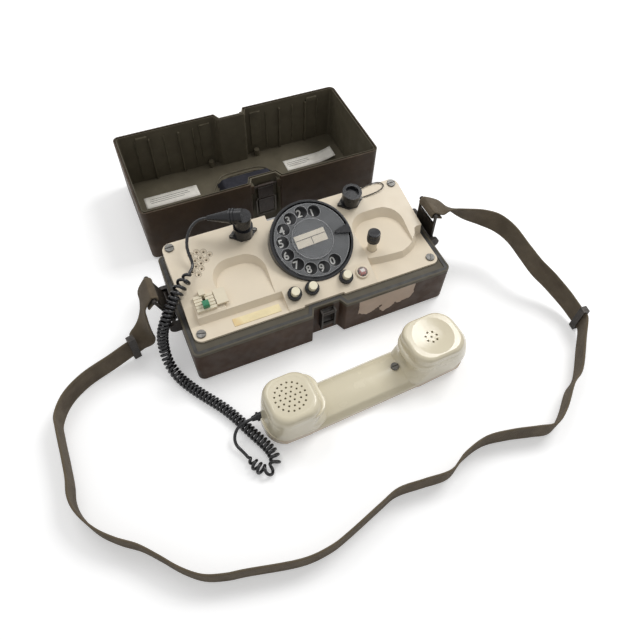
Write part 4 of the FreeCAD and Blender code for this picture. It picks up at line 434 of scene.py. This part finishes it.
numerals = bmesh.new()
for number, digit in enumerate("1234567890"):
    x, y, _ = hole_centre(number, 0.0)
    mesh = numeral(digit, (x + NUMERAL_SHIFT[0]) * MM, (y + NUMERAL_SHIFT[1]) * MM)
    numerals.from_mesh(mesh)
    bpy.data.meshes.remove(mesh)
numeral_mesh = bpy.data.meshes.new("dial_numerals")
numerals.to_mesh(numeral_mesh)
numerals.free()
dial_numerals = add_object("dial_numerals", numeral_mesh)
numeral_mesh.materials.append(white_ink)
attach(dial_numerals, "base")


def bars(name, place, boxes, material, body, bevel=0.0):
    """Flat bars given by their middle and size in millimetres, in a frame of their own."""
    mesh = bmesh.new()
    for x, y, z, length, width, height in boxes:
        size = Matrix.Diagonal((length * MM, width * MM, height * MM, 1))
        middle = Matrix.Translation((x * MM, y * MM, z * MM))
        made = bmesh.ops.create_cube(mesh, size=1.0, matrix=place @ middle @ size)
        if bevel:
            edges = {edge for vertex in made["verts"] for edge in vertex.link_edges}
            bmesh.ops.bevel(mesh, geom=list(edges), offset=bevel * MM, segments=2, affect="EDGES")
    data = bpy.data.meshes.new(name)
    mesh.to_mesh(data)
    mesh.free()
    piece = add_object(name, data)
    data.materials.append(material)
    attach(piece, body)
    return piece


CARD_PLACE = DIAL_PLACE @ Matrix.Translation((-0.001, 0.0015, 0.0008)) @ Matrix.Rotation(
    math.radians(3), 4, "Z")
bars("card_lines", CARD_PLACE, [(0, 1.2, 0.1, 31, 0.5, 0.2), (0.5, -2.6, 0.1, 0.6, 6.8, 0.2)],
     black_plate, "dial")


# Line sockets, plug, dust cap and lanyard: black moulded rubber on flanges screwed to the slope.
# The plug's elbow takes the cord; the cap's ribbed rim is tied down by a fine stiff wire.

black_rubber = moulded("black_rubber", (0.009, 0.009, 0.011), 0.27, vary=0.2, bump=0.04,
                       specular=0.4, worn_and_highlit_edge=(0.03, 0.03, 0.03))
paint(black_rubber, "line_sockets", "line_plug", "dust_cap", "cord_gland")
repeated("dust_cap_ribs", flute_tree,
         {"Ribs": 32, "Circle radius": 9.15 * MM, "Rib radius": 0.4 * MM, "Height": 5.0 * MM},
         [(68.3, 70.0, 13.6)], TOP_SLOPE, black_rubber, "dust_cap")


def millimetres(*points):
    return [Vector(point) * MM for point in points]


def nurbs(name, points, depth=0.0, resolution=12, sides=3):
    """One open NURBS spline through its end points."""
    curve = bpy.data.curves.new(name, "CURVE")
    curve.dimensions = "3D"
    curve.resolution_u = resolution
    curve.bevel_depth = depth
    curve.bevel_resolution = sides
    curve.use_fill_caps = True
    spline = curve.splines.new("NURBS")
    spline.points.add(len(points) - 1)
    for control, point in zip(spline.points, points):
        control.co = (*point, 1.0)
    spline.order_u = 3
    spline.use_endpoint_u = True
    return add_object(name, curve)


def line_of(points, resolution):
    """The points along a bare NURBS curve, as Blender evaluates it."""
    mesh = meshed(nurbs("guide", points, resolution=resolution))
    line = [vertex.co.copy() for vertex in mesh.vertices]
    bpy.data.meshes.remove(mesh)
    return line


def lengths_along(points):
    """How far along the line each of its points lies."""
    total = [0.0]
    for first, second in zip(points, points[1:]):
        total.append(total[-1] + (second - first).length)
    return total


LANYARD_WIRE = 1.1
LANYARD = millimetres(
    (84.30, 42.88, 67.78), (93.30, 42.81, 68.23), (104.30, 44.24, 68.77), (112.30, 48.73, 69.22),
    (109.30, 54.68, 70.02), (98.30, 55.65, 70.28), (88.30, 53.69, 69.85), (80.30, 52.75, 69.44))
lanyard = nurbs("cap_wire", LANYARD, depth=LANYARD_WIRE * MM / 2, resolution=8, sides=2)
lanyard.data.materials.append(dark_steel)
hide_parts("cap_lanyard")
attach(lanyard, "base")
lengths_along(line_of(LANYARD, 8))[-1]


# Curly cord: one rubber-covered wire from the plug's boot, curled for most of its way and led
# straight again into the handset's gland. It was wound hot on a rod, so the curls stay.

LEAD = millimetres((-78.94, 53.05, 90.27), (-84.98, 56.28, 88.86), (-95, 52.5, 87.5),
                   (-102.5, 44.5, 83.5), (-107, 34, 77.5), (-105.13, 21.82, 68.18))
COIL_ROUTE = millimetres(
    (-110.3, 14.5, 69), (-113.5, 10, 69.5), (-120.5, 3.5, 70), (-129, -4.5, 68),
    (-137.5, -11.5, 62.5), (-145.5, -17.5, 53.5), (-151.5, -20.5, 42.5), (-154.5, -23, 31.5),
    (-156.2, -28, 21.8), (-156.4, -35.5, 13.8), (-154.6, -45, 8.2), (-150.5, -55.5, 5.8),
    (-145, -66, 5.7), (-138.5, -76.5, 5.7), (-131, -87.5, 5.7), (-123.5, -98.5, 5.7),
    (-117.5, -109.5, 5.7), (-112, -121.5, 5.7), (-107, -133.5, 5.7), (-101.8, -144.5, 5.7),
    (-97.6, -155, 5.7), (-97, -165, 5.7), (-103.5, -172.5, 5.7), (-112, -168.5, 5.7),
    (-116, -159.5, 5.7), (-119.5, -150.5, 5.7))
TAIL = millimetres((-121.67, -144.91, 5.7), (-125, -138, 6.5), (-123.5, -131, 10),
                   (-118.5, -126.5, 14), (-111.47, -125.52, 17.5), (-104.476, -125.241, 17.5))
WIRE = 3.0
COIL_RADIUS = 4.1
CURL_PITCH = 4.0
CURL_GAP = 0.5
CURL_RISE = 14.0
CURL_START = 1.2
POINTS_A_TURN = 12


def curl_pitch(share, bend):
    """Stretched curls first, tight ones along the case, looser at the end; a bend spreads them."""
    if share < 0.035:
        pitch = 8.5
    elif share < 0.12:
        pitch = 8.5 - (8.5 - CURL_PITCH) * (share - 0.035) / 0.085
    else:
        pitch = CURL_PITCH + 3.0 * max(0.0, (share - 0.93) / 0.07)
    return max(pitch, (WIRE + CURL_GAP) * bend / (bend - COIL_RADIUS))


def bend_radius(before, point, after):
    """The radius of the circle through three points, in millimetres."""
    area = (point - before).cross(after - point).length / 2
    sides = (point - before).length * (after - point).length * (after - before).length
    return min(sides / (4 * max(area, 1e-12)) / MM, 500.0)


def curls(route):
    """Twelve points a turn round the route's own line."""
    line = line_of(route, 16)
    lengths = lengths_along(line)
    total = lengths[-1]
    reach = 5
    bends = [bend_radius(line[i - reach], line[i], line[i + reach]) for i in
             (min(max(index, reach), len(line) - 1 - reach) for index in range(len(line)))]
    normal = Vector((0, 0, 1))
    frames = []
    for index, point in enumerate(line):
        ahead = (line[min(index + 1, len(line) - 1)] - line[max(index - 1, 0)]).normalized()
        normal = (normal - ahead * normal.dot(ahead)).normalized()
        frames.append((point, normal.copy(), ahead.cross(normal)))
    points = []
    distance, angle, index = 0.0, CURL_START, 0
    while distance < total:
        while lengths[index + 1] < distance:
            index += 1
        part = (distance - lengths[index]) / (lengths[index + 1] - lengths[index])
        point, normal, side = [a.lerp(b, part) for a, b in zip(frames[index], frames[index + 1])]
        rise = max(min(distance, total - distance) / (CURL_RISE * MM), 0.0)
        rise = min(rise, 1.0) ** 2 * (3 - 2 * min(rise, 1.0))
        radius = COIL_RADIUS * MM * rise * (1 + 0.35 * max(0.0, 1 - distance / 0.045)) * 1.017
        points.append(point + normal * radius * math.cos(angle) + side * radius * math.sin(angle))
        bend = min(b for b, length in zip(bends, lengths) if abs(length - distance) < 0.003)
        distance += curl_pitch(distance / total, bend) * MM / POINTS_A_TURN
        angle += 2 * math.pi / POINTS_A_TURN
    return points + [line[-1]]


cord_rubber = moulded("cord_rubber", (0.006, 0.006, 0.008), 0.16, vary=0.2, bump=0.03,
                      specular=0.45, coat=0.2)
wire_points = LEAD + curls(COIL_ROUTE) + TAIL
wire_line = line_of(wire_points, 3)
cord_mesh = meshed(nurbs("curly_wire", wire_points, depth=WIRE * MM / 2, resolution=3, sides=3))
cord_mesh.materials.clear()
cord_mesh.materials.append(cord_rubber)
for face in cord_mesh.polygons:
    face.use_smooth = len(face.vertices) == 4
cord = add_object("curly_cord", cord_mesh)
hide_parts("cord_lead", "cord_coil", "cord_tail")
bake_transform(cord)


# Handset: two ivory shells screwed together along the grip, with screw-on ear and mouth caps. The
# thin back shell, lying underneath, is coloured darker and browner than the rest.

ivory = moulded("handset_ivory", (0.70, 0.635, 0.47), 0.2, vary=0.03, patch=0.06, bump=0.02,
                coat=0.25, dirt=(0.62, 0.54, 0.38))
back_ivory = moulded("back_ivory", (0.60, 0.49, 0.36), 0.2, vary=0.05, patch=0.05, bump=0.02,
                     coat=0.4, dirt=(0.50, 0.38, 0.27))
paint(ivory, "handset_inner", "mouth_cap", "ear_cap")
paint(back_ivory, "handset_back")
paint(screw_steel, "handset_screws")


# Carrying strap: lugs on the case's ends, a steel bracket hinged on each, and olive webbing sewn
# round the brackets' bars, drawn to length by two dark steel sliders.

paint(dark_steel, "strap_lugs", "left_bracket", "right_bracket", "strap_sliders")
STRAP_WIDTH = 0.025
STRAP_THICK = 0.002


def webbing_material():
    """Olive webbing: fine weave in the strap's own coordinates, pale selvedges and dirt."""
    material = moulded("webbing", (0.125, 0.098, 0.066), 0.9, vary=0.16, patch=0.015, bump=0.0,
                       specular=0.15, dirt=(0.055, 0.038, 0.025))
    tree = material.node_tree
    shader = tree.nodes["Principled BSDF"]
    place = tree.nodes.new("ShaderNodeUVMap").outputs["UV"]
    split = tree.nodes.new("ShaderNodeSeparateXYZ")
    tree.links.new(place, split.inputs[0])

    def wave(axis, pitch):
        return arithmetic(tree, "SINE", arithmetic(tree, "MULTIPLY", split.outputs[axis],
                                                   2 * math.pi / pitch))

    weave = arithmetic(tree, "MULTIPLY", wave(0, 0.0016), wave(1, 0.0012))
    bump = tree.nodes.new("ShaderNodeBump")
    bump.inputs["Strength"].default_value = 0.55
    bump.inputs["Distance"].default_value = 0.0003
    tree.links.new(weave, bump.inputs["Height"])
    tree.links.new(bump.outputs["Normal"], shader.inputs["Normal"])
    shader.inputs["Sheen Weight"].default_value = 0.08
    shader.inputs["Sheen Roughness"].default_value = 0.6
    base = shader.inputs["Base Color"].links[0].from_socket
    band = tree.nodes.new("ShaderNodeMapRange")
    band.inputs["From Min"].default_value = 0.0102
    band.inputs["From Max"].default_value = 0.0110
    band.inputs["To Max"].default_value = 0.5
    tree.links.new(arithmetic(tree, "ABSOLUTE", split.outputs[1]), band.inputs["Value"])
    tree.links.new(mixed(tree, band.outputs["Result"], base, (0.15, 0.12, 0.08)),
                   shader.inputs["Base Color"])
    return material


webbing = webbing_material()


def smooth(rows, steps):
    """A Catmull-Rom run through rows of numbers."""
    padded = [rows[0] * 2 - rows[1]] + rows + [rows[-1] * 2 - rows[-2]]
    samples = []
    for index in range(1, len(padded) - 2):
        p0, p1, p2, p3 = padded[index - 1:index + 3]
        for step in range(steps):
            t = step / steps
            samples.append((p1 * 2 + (p2 - p0) * t + (p0 * 2 - p1 * 5 + p2 * 4 - p3) * t ** 2
                            + (p1 * 3 - p0 - p2 * 3 + p3) * t ** 3) * 0.5)
    return samples + [rows[-1]]


def strap_mesh(name, stations, steps=6):
    """Webbing with rounded edges through stations of (centre, direction of its width)."""
    centres = smooth([Vector(centre) * MM for centre, _ in stations], steps)
    widths = smooth([Vector(width).normalized() for _, width in stations], steps)
    lengths = lengths_along(centres)
    half = STRAP_WIDTH / 2
    thick = STRAP_THICK / 2
    columns = [(-half, 0.0), (-half + 0.0004, 0.8), (-half + 0.0012, 1.0)]
    columns += [(half * share, 1.0) for share in (-0.76, -0.5, -0.25, 0.0, 0.25, 0.5, 0.76)]
    columns += [(half - 0.0012, 1.0), (half - 0.0004, 0.8), (half, 0.0)]
    ring = [(place, thick * depth) for place, depth in columns]
    ring += [(place, -thick * depth) for place, depth in reversed(columns[1:-1])]
    mesh = bmesh.new()
    layer = mesh.loops.layers.uv.new("webbing")
    rows = []
    for index, centre in enumerate(centres):
        run = (centres[min(index + 1, len(centres) - 1)] - centres[max(index - 1, 0)]).normalized()
        wide = (widths[index] - run * widths[index].dot(run)).normalized()
        out = run.cross(wide)
        rows.append([mesh.verts.new(centre + wide * place + out * depth) for place, depth in ring])
    count = len(ring)
    for index in range(len(rows) - 1):
        for side in range(count):
            following = (side + 1) % count
            face = mesh.faces.new((rows[index][side], rows[index][following],
                                   rows[index + 1][following], rows[index + 1][side]))
            face.smooth = True
            for loop, (row, column) in zip(face.loops, ((index, side), (index, following),
                                                        (index + 1, following), (index + 1, side))):
                loop[layer].uv = (lengths[row], ring[column][0])
    mesh.faces.new(list(reversed(rows[0])))
    mesh.faces.new(rows[-1])
    bmesh.ops.recalc_face_normals(mesh, faces=mesh.faces)
    data = bpy.data.meshes.new(name)
    mesh.to_mesh(data)
    mesh.free()
    piece = add_object(name, data)
    data.materials.append(webbing)
    return piece, lengths[-1]


def bracket_point(pin, lean, side, x, z):
    """A point of the bracket's own section, seen from the whole telephone."""
    angle = math.radians(lean)
    return (pin[0] + x * math.cos(angle) + side * z * math.sin(angle), pin[1],
            pin[2] - side * x * math.sin(angle) + z * math.cos(angle))


def wrap_stations(pin, lean, side):
    """Through the bracket's slot and round its bar."""
    length = 33.0
    wrap = 2.2 + 1.0 + 0.3
    places = [(side * 10.0, length - 8.2), (side * 5.0, length - 5.6)]
    for angle in (-90, -50, -10, 30, 70, 110):
        places.append((-side * wrap * math.cos(math.radians(angle)),
                       length + wrap * math.sin(math.radians(angle))))
    return [(bracket_point(pin, lean, side, x, z), ACROSS) for x, z in places]


ON_EDGE = (0, 0, 1)
ACROSS = (0, 1, 0)
DOWN = (0, 0, -1)
LEFT_PIN, RIGHT_PIN = (-139.2, 6, 39), (139.2, 0.5, 39)
left_stations = wrap_stations(LEFT_PIN, 20, -1) + [
    ((-160.5, 6, 60), ACROSS), ((-162, 4.5, 48), ACROSS), ((-164, 2, 36), (-0.1, 1, 0.05)),
    ((-167.5, -2, 26), (-0.25, 1, 0.3)), ((-172, -6.5, 20), (-0.3, 0.7, 0.7)),
    ((-177, -9.85, 17), ON_EDGE), ((-181.8, -11.05, 16.7), ON_EDGE)]
right_stations = wrap_stations(RIGHT_PIN, -2, 1) + [
    ((151, 0, 68.5), ACROSS), ((162, -4, 66), (0.1, 0.8, -0.6)),
    ((178, -13, 61), (0.1, 0.35, -0.9)), ((195, -22, 57), (0.05, 0.1, -1)),
    ((208, -32, 53), DOWN), ((216, -48, 49), DOWN),
    ((220, -70, 43), DOWN), ((225, -88, 36), DOWN), ((234, -106, 27.5), DOWN),
    ((240.8, -126, 20), DOWN), ((242.5, -142, 16.7), DOWN), ((241.72, -149.8, 16.7), DOWN)]
GROUND = [(-182.2, -11.15, 16.7), (-189, -12.85, 16.1), (-205, -17.5, 13.9), (-231, -26, 12.7),
          (-250, -39, 12.7), (-261, -56, 12.7), (-262.5, -70, 12.7), (-262.6, -96, 12.7),
          (-263, -117, 12.7), (-264.6, -133, 12.7), (-261.4, -148, 12.7), (-251.3, -166, 12.7),
          (-238, -180, 12.7), (-223, -192, 12.7), (-210.5, -206, 12.7), (-198, -221, 12.7),
          (-184, -233, 12.7), (-168, -239.4, 12.7), (-152, -243, 12.7), (-111, -253, 12.7),
          (-86, -253.4, 12.7), (-66, -249, 12.7), (-33, -239, 12.7), (-14, -234, 12.7),
          (10, -236, 12.7), (35, -238, 12.7), (54, -229.5, 12.7), (79, -224.3, 12.7),
          (104, -228, 12.7), (128, -234.5, 12.7), (145, -238, 12.7), (163, -229, 12.7),
          (185, -211, 12.7), (202, -201.5, 12.7), (227, -174, 13.9), (240.9, -157.5, 16.1),
          (241.68, -150.2, 16.7)]
left_strap, left_length = strap_mesh("strap_left", left_stations)
ground_strap, ground_length = strap_mesh("strap_ground", [(point, ON_EDGE) for point in GROUND])
right_strap, right_length = strap_mesh("strap_right", right_stations)
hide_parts("strap_main")
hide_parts("strap_left_end")
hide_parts("strap_right_end")
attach(ground_strap, "base")
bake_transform(left_strap)
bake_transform(right_strap)


# Lid: a deep brown tray, olive-grey inside, lying on its top behind the case. Ribs, thickened
# strips beside the latch channels and a double ridge stiffen it.

LID_PLACE = Matrix.Translation((-0.0015, 0.1635, 0))
lid_brown = moulded("lid_brown", (0.044, 0.026, 0.013), 0.5, vary=0.18, patch=0.03, bump=0.12,
                    specular=0.25, worn_and_highlit_edge=(0.17, 0.14, 0.09), dirt=(0.07, 0.045, 0.028))
LID_OLIVE = (0.112, 0.097, 0.066)
tint_within(lid_brown, (-0.1332, 0.1033, 0.0029), (0.1302, 0.2237, 0.0699), LID_OLIVE, vary=0.28)
olive = moulded("lid_olive", LID_OLIVE, 0.5, vary=0.25, patch=0.03, bump=0.12, specular=0.25,
                worn_and_highlit_edge=(0.19, 0.17, 0.12))
paint(lid_brown, "lid_shell")
INNER_WALL = 59.0
rib_boxes = []
for x in (-112, -79, -45, 45, 79, 112):
    for side in (-1, 1):
        rib_boxes.append((x, side * (INNER_WALL - 0.6), 34, 1.6, 1.6, 52))
for x in (-104, 104):
    rib_boxes.append((x, INNER_WALL - 1.0, 62.5, 13, 2.2, 5))
for x in (-31, 31):
    rib_boxes.append((x, INNER_WALL - 0.9, 40, 13, 2.2, 46))
bars("lid_ribs", LID_PLACE, rib_boxes, olive, "lid", bevel=0.4)


LID_FLOOR = 3.0
RIDGE_LEVEL = LID_FLOOR + 0.4
RIDGE_RADIUS = 0.0011


def ridge(name, outline):
    """A low round ridge along an open outline on the lid's floor."""
    mesh = meshed(nurbs(name + "_path", millimetres(*[(x, y, RIDGE_LEVEL) for x, y in outline]),
                        depth=RIDGE_RADIUS, resolution=8, sides=2))
    mesh.transform(LID_PLACE)
    mesh.materials.clear()
    mesh.materials.append(olive)
    for face in mesh.polygons:
        face.use_smooth = True
    piece = add_object(name, mesh)
    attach(piece, "lid")


ridge("ridge_outer", [(-50, -44), (-50, -20), (-44, 8), (-34, 22), (-26, 33), (0, 34), (26, 33),
                      (34, 22), (44, 8), (50, -20), (50, -44)])
ridge("ridge_inner", [(-44, -44), (-44, -20), (-38, 6), (-30, 19), (-22, 28), (0, 29), (22, 28),
                      (30, 19), (38, 6), (44, -20), (44, -44)])


# Lid pad and labels: a dark foam block glued to the lid's floor inside the ridge, and two paper
# labels, the right one lifting at its outer end.

foam = moulded("pad_foam", (0.022, 0.022, 0.030), 0.8, vary=0.2, patch=0.01, bump=0.4,
               specular=0.3)
PAD_LENGTH, PAD_DEPTH, PAD_HEIGHT = 70.0, 62.0, 11.0
PAD_MIDDLE = -9
PAD_CROWN = 0.8


def foam_pad():
    """A block with drawn-in sloping sides and a slightly crowned top."""
    mesh = bmesh.new()
    steps = 24
    levels = [(0.0, 0.0), (0.15, 1.0), (0.4, 2.6), (0.7, 4.0), (0.9, 5.0), (0.98, 6.2), (1.0, 8.0)]
    rings = []
    for rise, inset in levels:
        ring = []
        for step in range(4 * steps):
            side, part = divmod(step, steps)
            share = 2 * part / steps - 1
            x, y = ((share, -1), (1, share), (-share, 1), (-1, -share))[side]
            corner = (abs(x * y)) ** 6 * 0.035
            ring.append(mesh.verts.new((x * (1 - corner) * (PAD_LENGTH / 2 - inset) * MM,
                                        y * (1 - corner) * (PAD_DEPTH / 2 - inset) * MM,
                                        rise * (PAD_HEIGHT - PAD_CROWN) * MM)))
        rings.append(ring)
    rim = rings[-1]
    crown = mesh.verts.new((0, 0, PAD_HEIGHT * MM))
    for share in (0.8, 0.6, 0.4, 0.2):
        height = (PAD_HEIGHT - PAD_CROWN * share ** 2) * MM
        rings.append([mesh.verts.new((vertex.co.x * share, vertex.co.y * share, height))
                      for vertex in rim])
    for step in range(4 * steps):
        following = (step + 1) % (4 * steps)
        for lower, upper in zip(rings, rings[1:]):
            mesh.faces.new((lower[step], lower[following], upper[following], upper[step]))
        mesh.faces.new((rings[-1][step], rings[-1][following], crown))
    mesh.faces.new(list(reversed(rings[0])))
    for face in mesh.faces:
        face.smooth = True
    bmesh.ops.recalc_face_normals(mesh, faces=mesh.faces)
    data = bpy.data.meshes.new("foam_pad")
    mesh.to_mesh(data)
    mesh.free()
    data.transform(LID_PLACE @ Matrix.Translation((0, PAD_MIDDLE * MM, LID_FLOOR * MM)))
    data.materials.append(foam)
    return add_object("foam_pad", data)


pad = foam_pad()
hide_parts("lid_pad")
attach(pad, "lid")
paper = moulded("paper_label", (0.82, 0.79, 0.72), 0.7, vary=0.05, patch=0.01,
                dirt=(0.55, 0.50, 0.42))
LABEL_LENGTH = 64
LIFT_FROM = 0.62


def paper_label(name, middle, lift):
    """A sheet of paper whose right end lifts off the lid's floor."""
    mesh = bmesh.new()
    columns = 24
    grid = []
    for column in range(columns + 1):
        share = column / columns
        height = 0.25 + lift * max(0.0, (share - LIFT_FROM) / (1 - LIFT_FROM)) ** 2
        x = middle[0] + LABEL_LENGTH * (share - 0.5)
        grid.append([mesh.verts.new((x * MM, (middle[1] + y) * MM, height * MM))
                     for y in (-9, -3, 3, 9)])
    for left, right in zip(grid, grid[1:]):
        for row in range(3):
            mesh.faces.new((left[row], right[row], right[row + 1], left[row + 1])).smooth = True
    data = bpy.data.meshes.new(name)
    mesh.to_mesh(data)
    mesh.free()
    data.transform(LID_PLACE @ Matrix.Translation((0, 0, LID_FLOOR * MM)))
    data.materials.append(paper)
    piece = add_object(name, data)
    solid = piece.modifiers.new("thickness", "SOLIDIFY")
    solid.thickness = 0.0002
    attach(piece, "lid")
    return piece


left_label = paper_label("label_left", (-89.5, 20.5), 0.0)
paper_label("label_right", (86.5, 21.0), 5.0)
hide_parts("lid_labels")
LINE_RISE = 3.42
lines = [(-92, 24.5, 45), (-92, 21.5, 48), (-95, 18.5, 40), (72, 24.5, 28), (72, 21.5, 30),
         (70, 18.5, 24)]
bars("label_lines", LID_PLACE, [(x, y, LINE_RISE, length, 0.5, 0.1) for x, y, length in lines],
     iron, "lid")


# Latches: a dark brown lever hinged across each channel, and a wire bail that hooks under the
# case's catch when the lid is shut.

lever_brown = moulded("lever_brown", (0.030, 0.019, 0.013), 0.35, vary=0.2, patch=0.006,
                      metallic=0.3, bump=0.15, worn_and_highlit_edge=(0.16, 0.13, 0.10))
bail_steel = moulded("bail_steel", (0.11, 0.10, 0.085), 0.4, vary=0.2, patch=0.005, metallic=0.8,
                     bump=0.1, dirt=(0.05, 0.04, 0.03))
paint(lever_brown, "latch_lever_front", "latch_lever_back")
paint(bail_steel, "latch_bail_front", "latch_bail_back")


# Camera at the photograph's place, a pale floor, one soft lamp from the right, and a weaker
# one from behind.

def direction_frame(azimuth, elevation, roll):
    """The right, up and back of a camera that looks down at an elevation."""
    level = math.cos(elevation)
    ahead = Vector((-math.sin(azimuth) * level, math.cos(azimuth) * level, -math.sin(elevation)))
    right = ahead.cross(Vector((0, 0, 1))).normalized()
    up = right.cross(ahead)
    turned_right = right * math.cos(roll) + up * math.sin(roll)
    turned_up = up * math.cos(roll) - right * math.sin(roll)
    return turned_right, turned_up, -ahead


right, up, back = direction_frame(-0.4757, 0.9805, 0.0689)
FRAME_PIXELS = 640
FOCAL_PIXELS = 583.133
SENSOR = 36
camera = bpy.data.cameras.new("camera")
camera.sensor_width = SENSOR
camera.lens = FOCAL_PIXELS / FRAME_PIXELS * SENSOR
camera.shift_x = -1.05 / FRAME_PIXELS
camera.shift_y = 0.16 / FRAME_PIXELS
camera.clip_start = 0.01
viewer = add_object("camera", camera)
viewer.matrix_world = Matrix((
    (right.x, up.x, back.x, -0.152453), (right.y, up.y, back.y, -0.340007),
    (right.z, up.z, back.z, 0.501244), (0, 0, 0, 1)))
scene = bpy.context.scene
scene.camera = viewer
scene.render.resolution_x = FRAME_PIXELS
scene.render.resolution_y = FRAME_PIXELS
scene.view_settings.view_transform = "Standard"


def seen_strength(tree, unseen, seen):
    """One strength for what the camera and its reflections see, another for the light given."""
    rays = tree.nodes.new("ShaderNodeLightPath").outputs
    straight = arithmetic(tree, "MAXIMUM", rays["Is Camera Ray"], rays["Is Glossy Ray"])
    straight = arithmetic(tree, "MAXIMUM", straight, rays["Is Transmission Ray"])
    return arithmetic(tree, "MULTIPLY_ADD", straight, seen - unseen, unseen)


ground = bpy.data.meshes.new("ground")
ground.from_pydata([(-3, -3, 0), (3, -3, 0), (3, 3, 0), (-3, 3, 0)], [], [(0, 1, 2, 3)])
floor = add_object("ground", ground)
floor_look = bpy.data.materials.new("ground")
floor_look.use_nodes = True
floor_shader = floor_look.node_tree.nodes["Principled BSDF"]
floor_shader.inputs["Base Color"].default_value = (0.9, 0.9, 0.9, 1)
floor_shader.inputs["Roughness"].default_value = 0.9
floor_shader.inputs["Specular IOR Level"].default_value = 0.1
floor_shader.inputs["Emission Color"].default_value = (1, 1, 1, 1)
floor_look.node_tree.links.new(seen_strength(floor_look.node_tree, 0.0, 0.3),
                               floor_shader.inputs["Emission Strength"])
ground.materials.append(floor_look)

world = bpy.data.worlds.new("world")
world.use_nodes = True
sky = world.node_tree.nodes["Background"]
sky.inputs["Color"].default_value = (1, 1, 1, 1)
world.node_tree.links.new(seen_strength(world.node_tree, 0.5, 0.9), sky.inputs["Strength"])
scene.world = world


def lamp(name, place, aim, size, power):
    data = bpy.data.lights.new(name, "AREA")
    data.shape = "SQUARE"
    data.size = size
    data.energy = power
    piece = add_object(name, data)
    piece.location = place
    piece.rotation_euler = (Vector(aim) - Vector(place)).to_track_quat("-Z", "Y").to_euler()


lamp("key", (1.0, 0.3, 1.4), (0, 0, 0), 0.7, 13)
lamp("fill", (-0.3, 0.9, 1.5), (0, 0, 0), 0.9, 6)
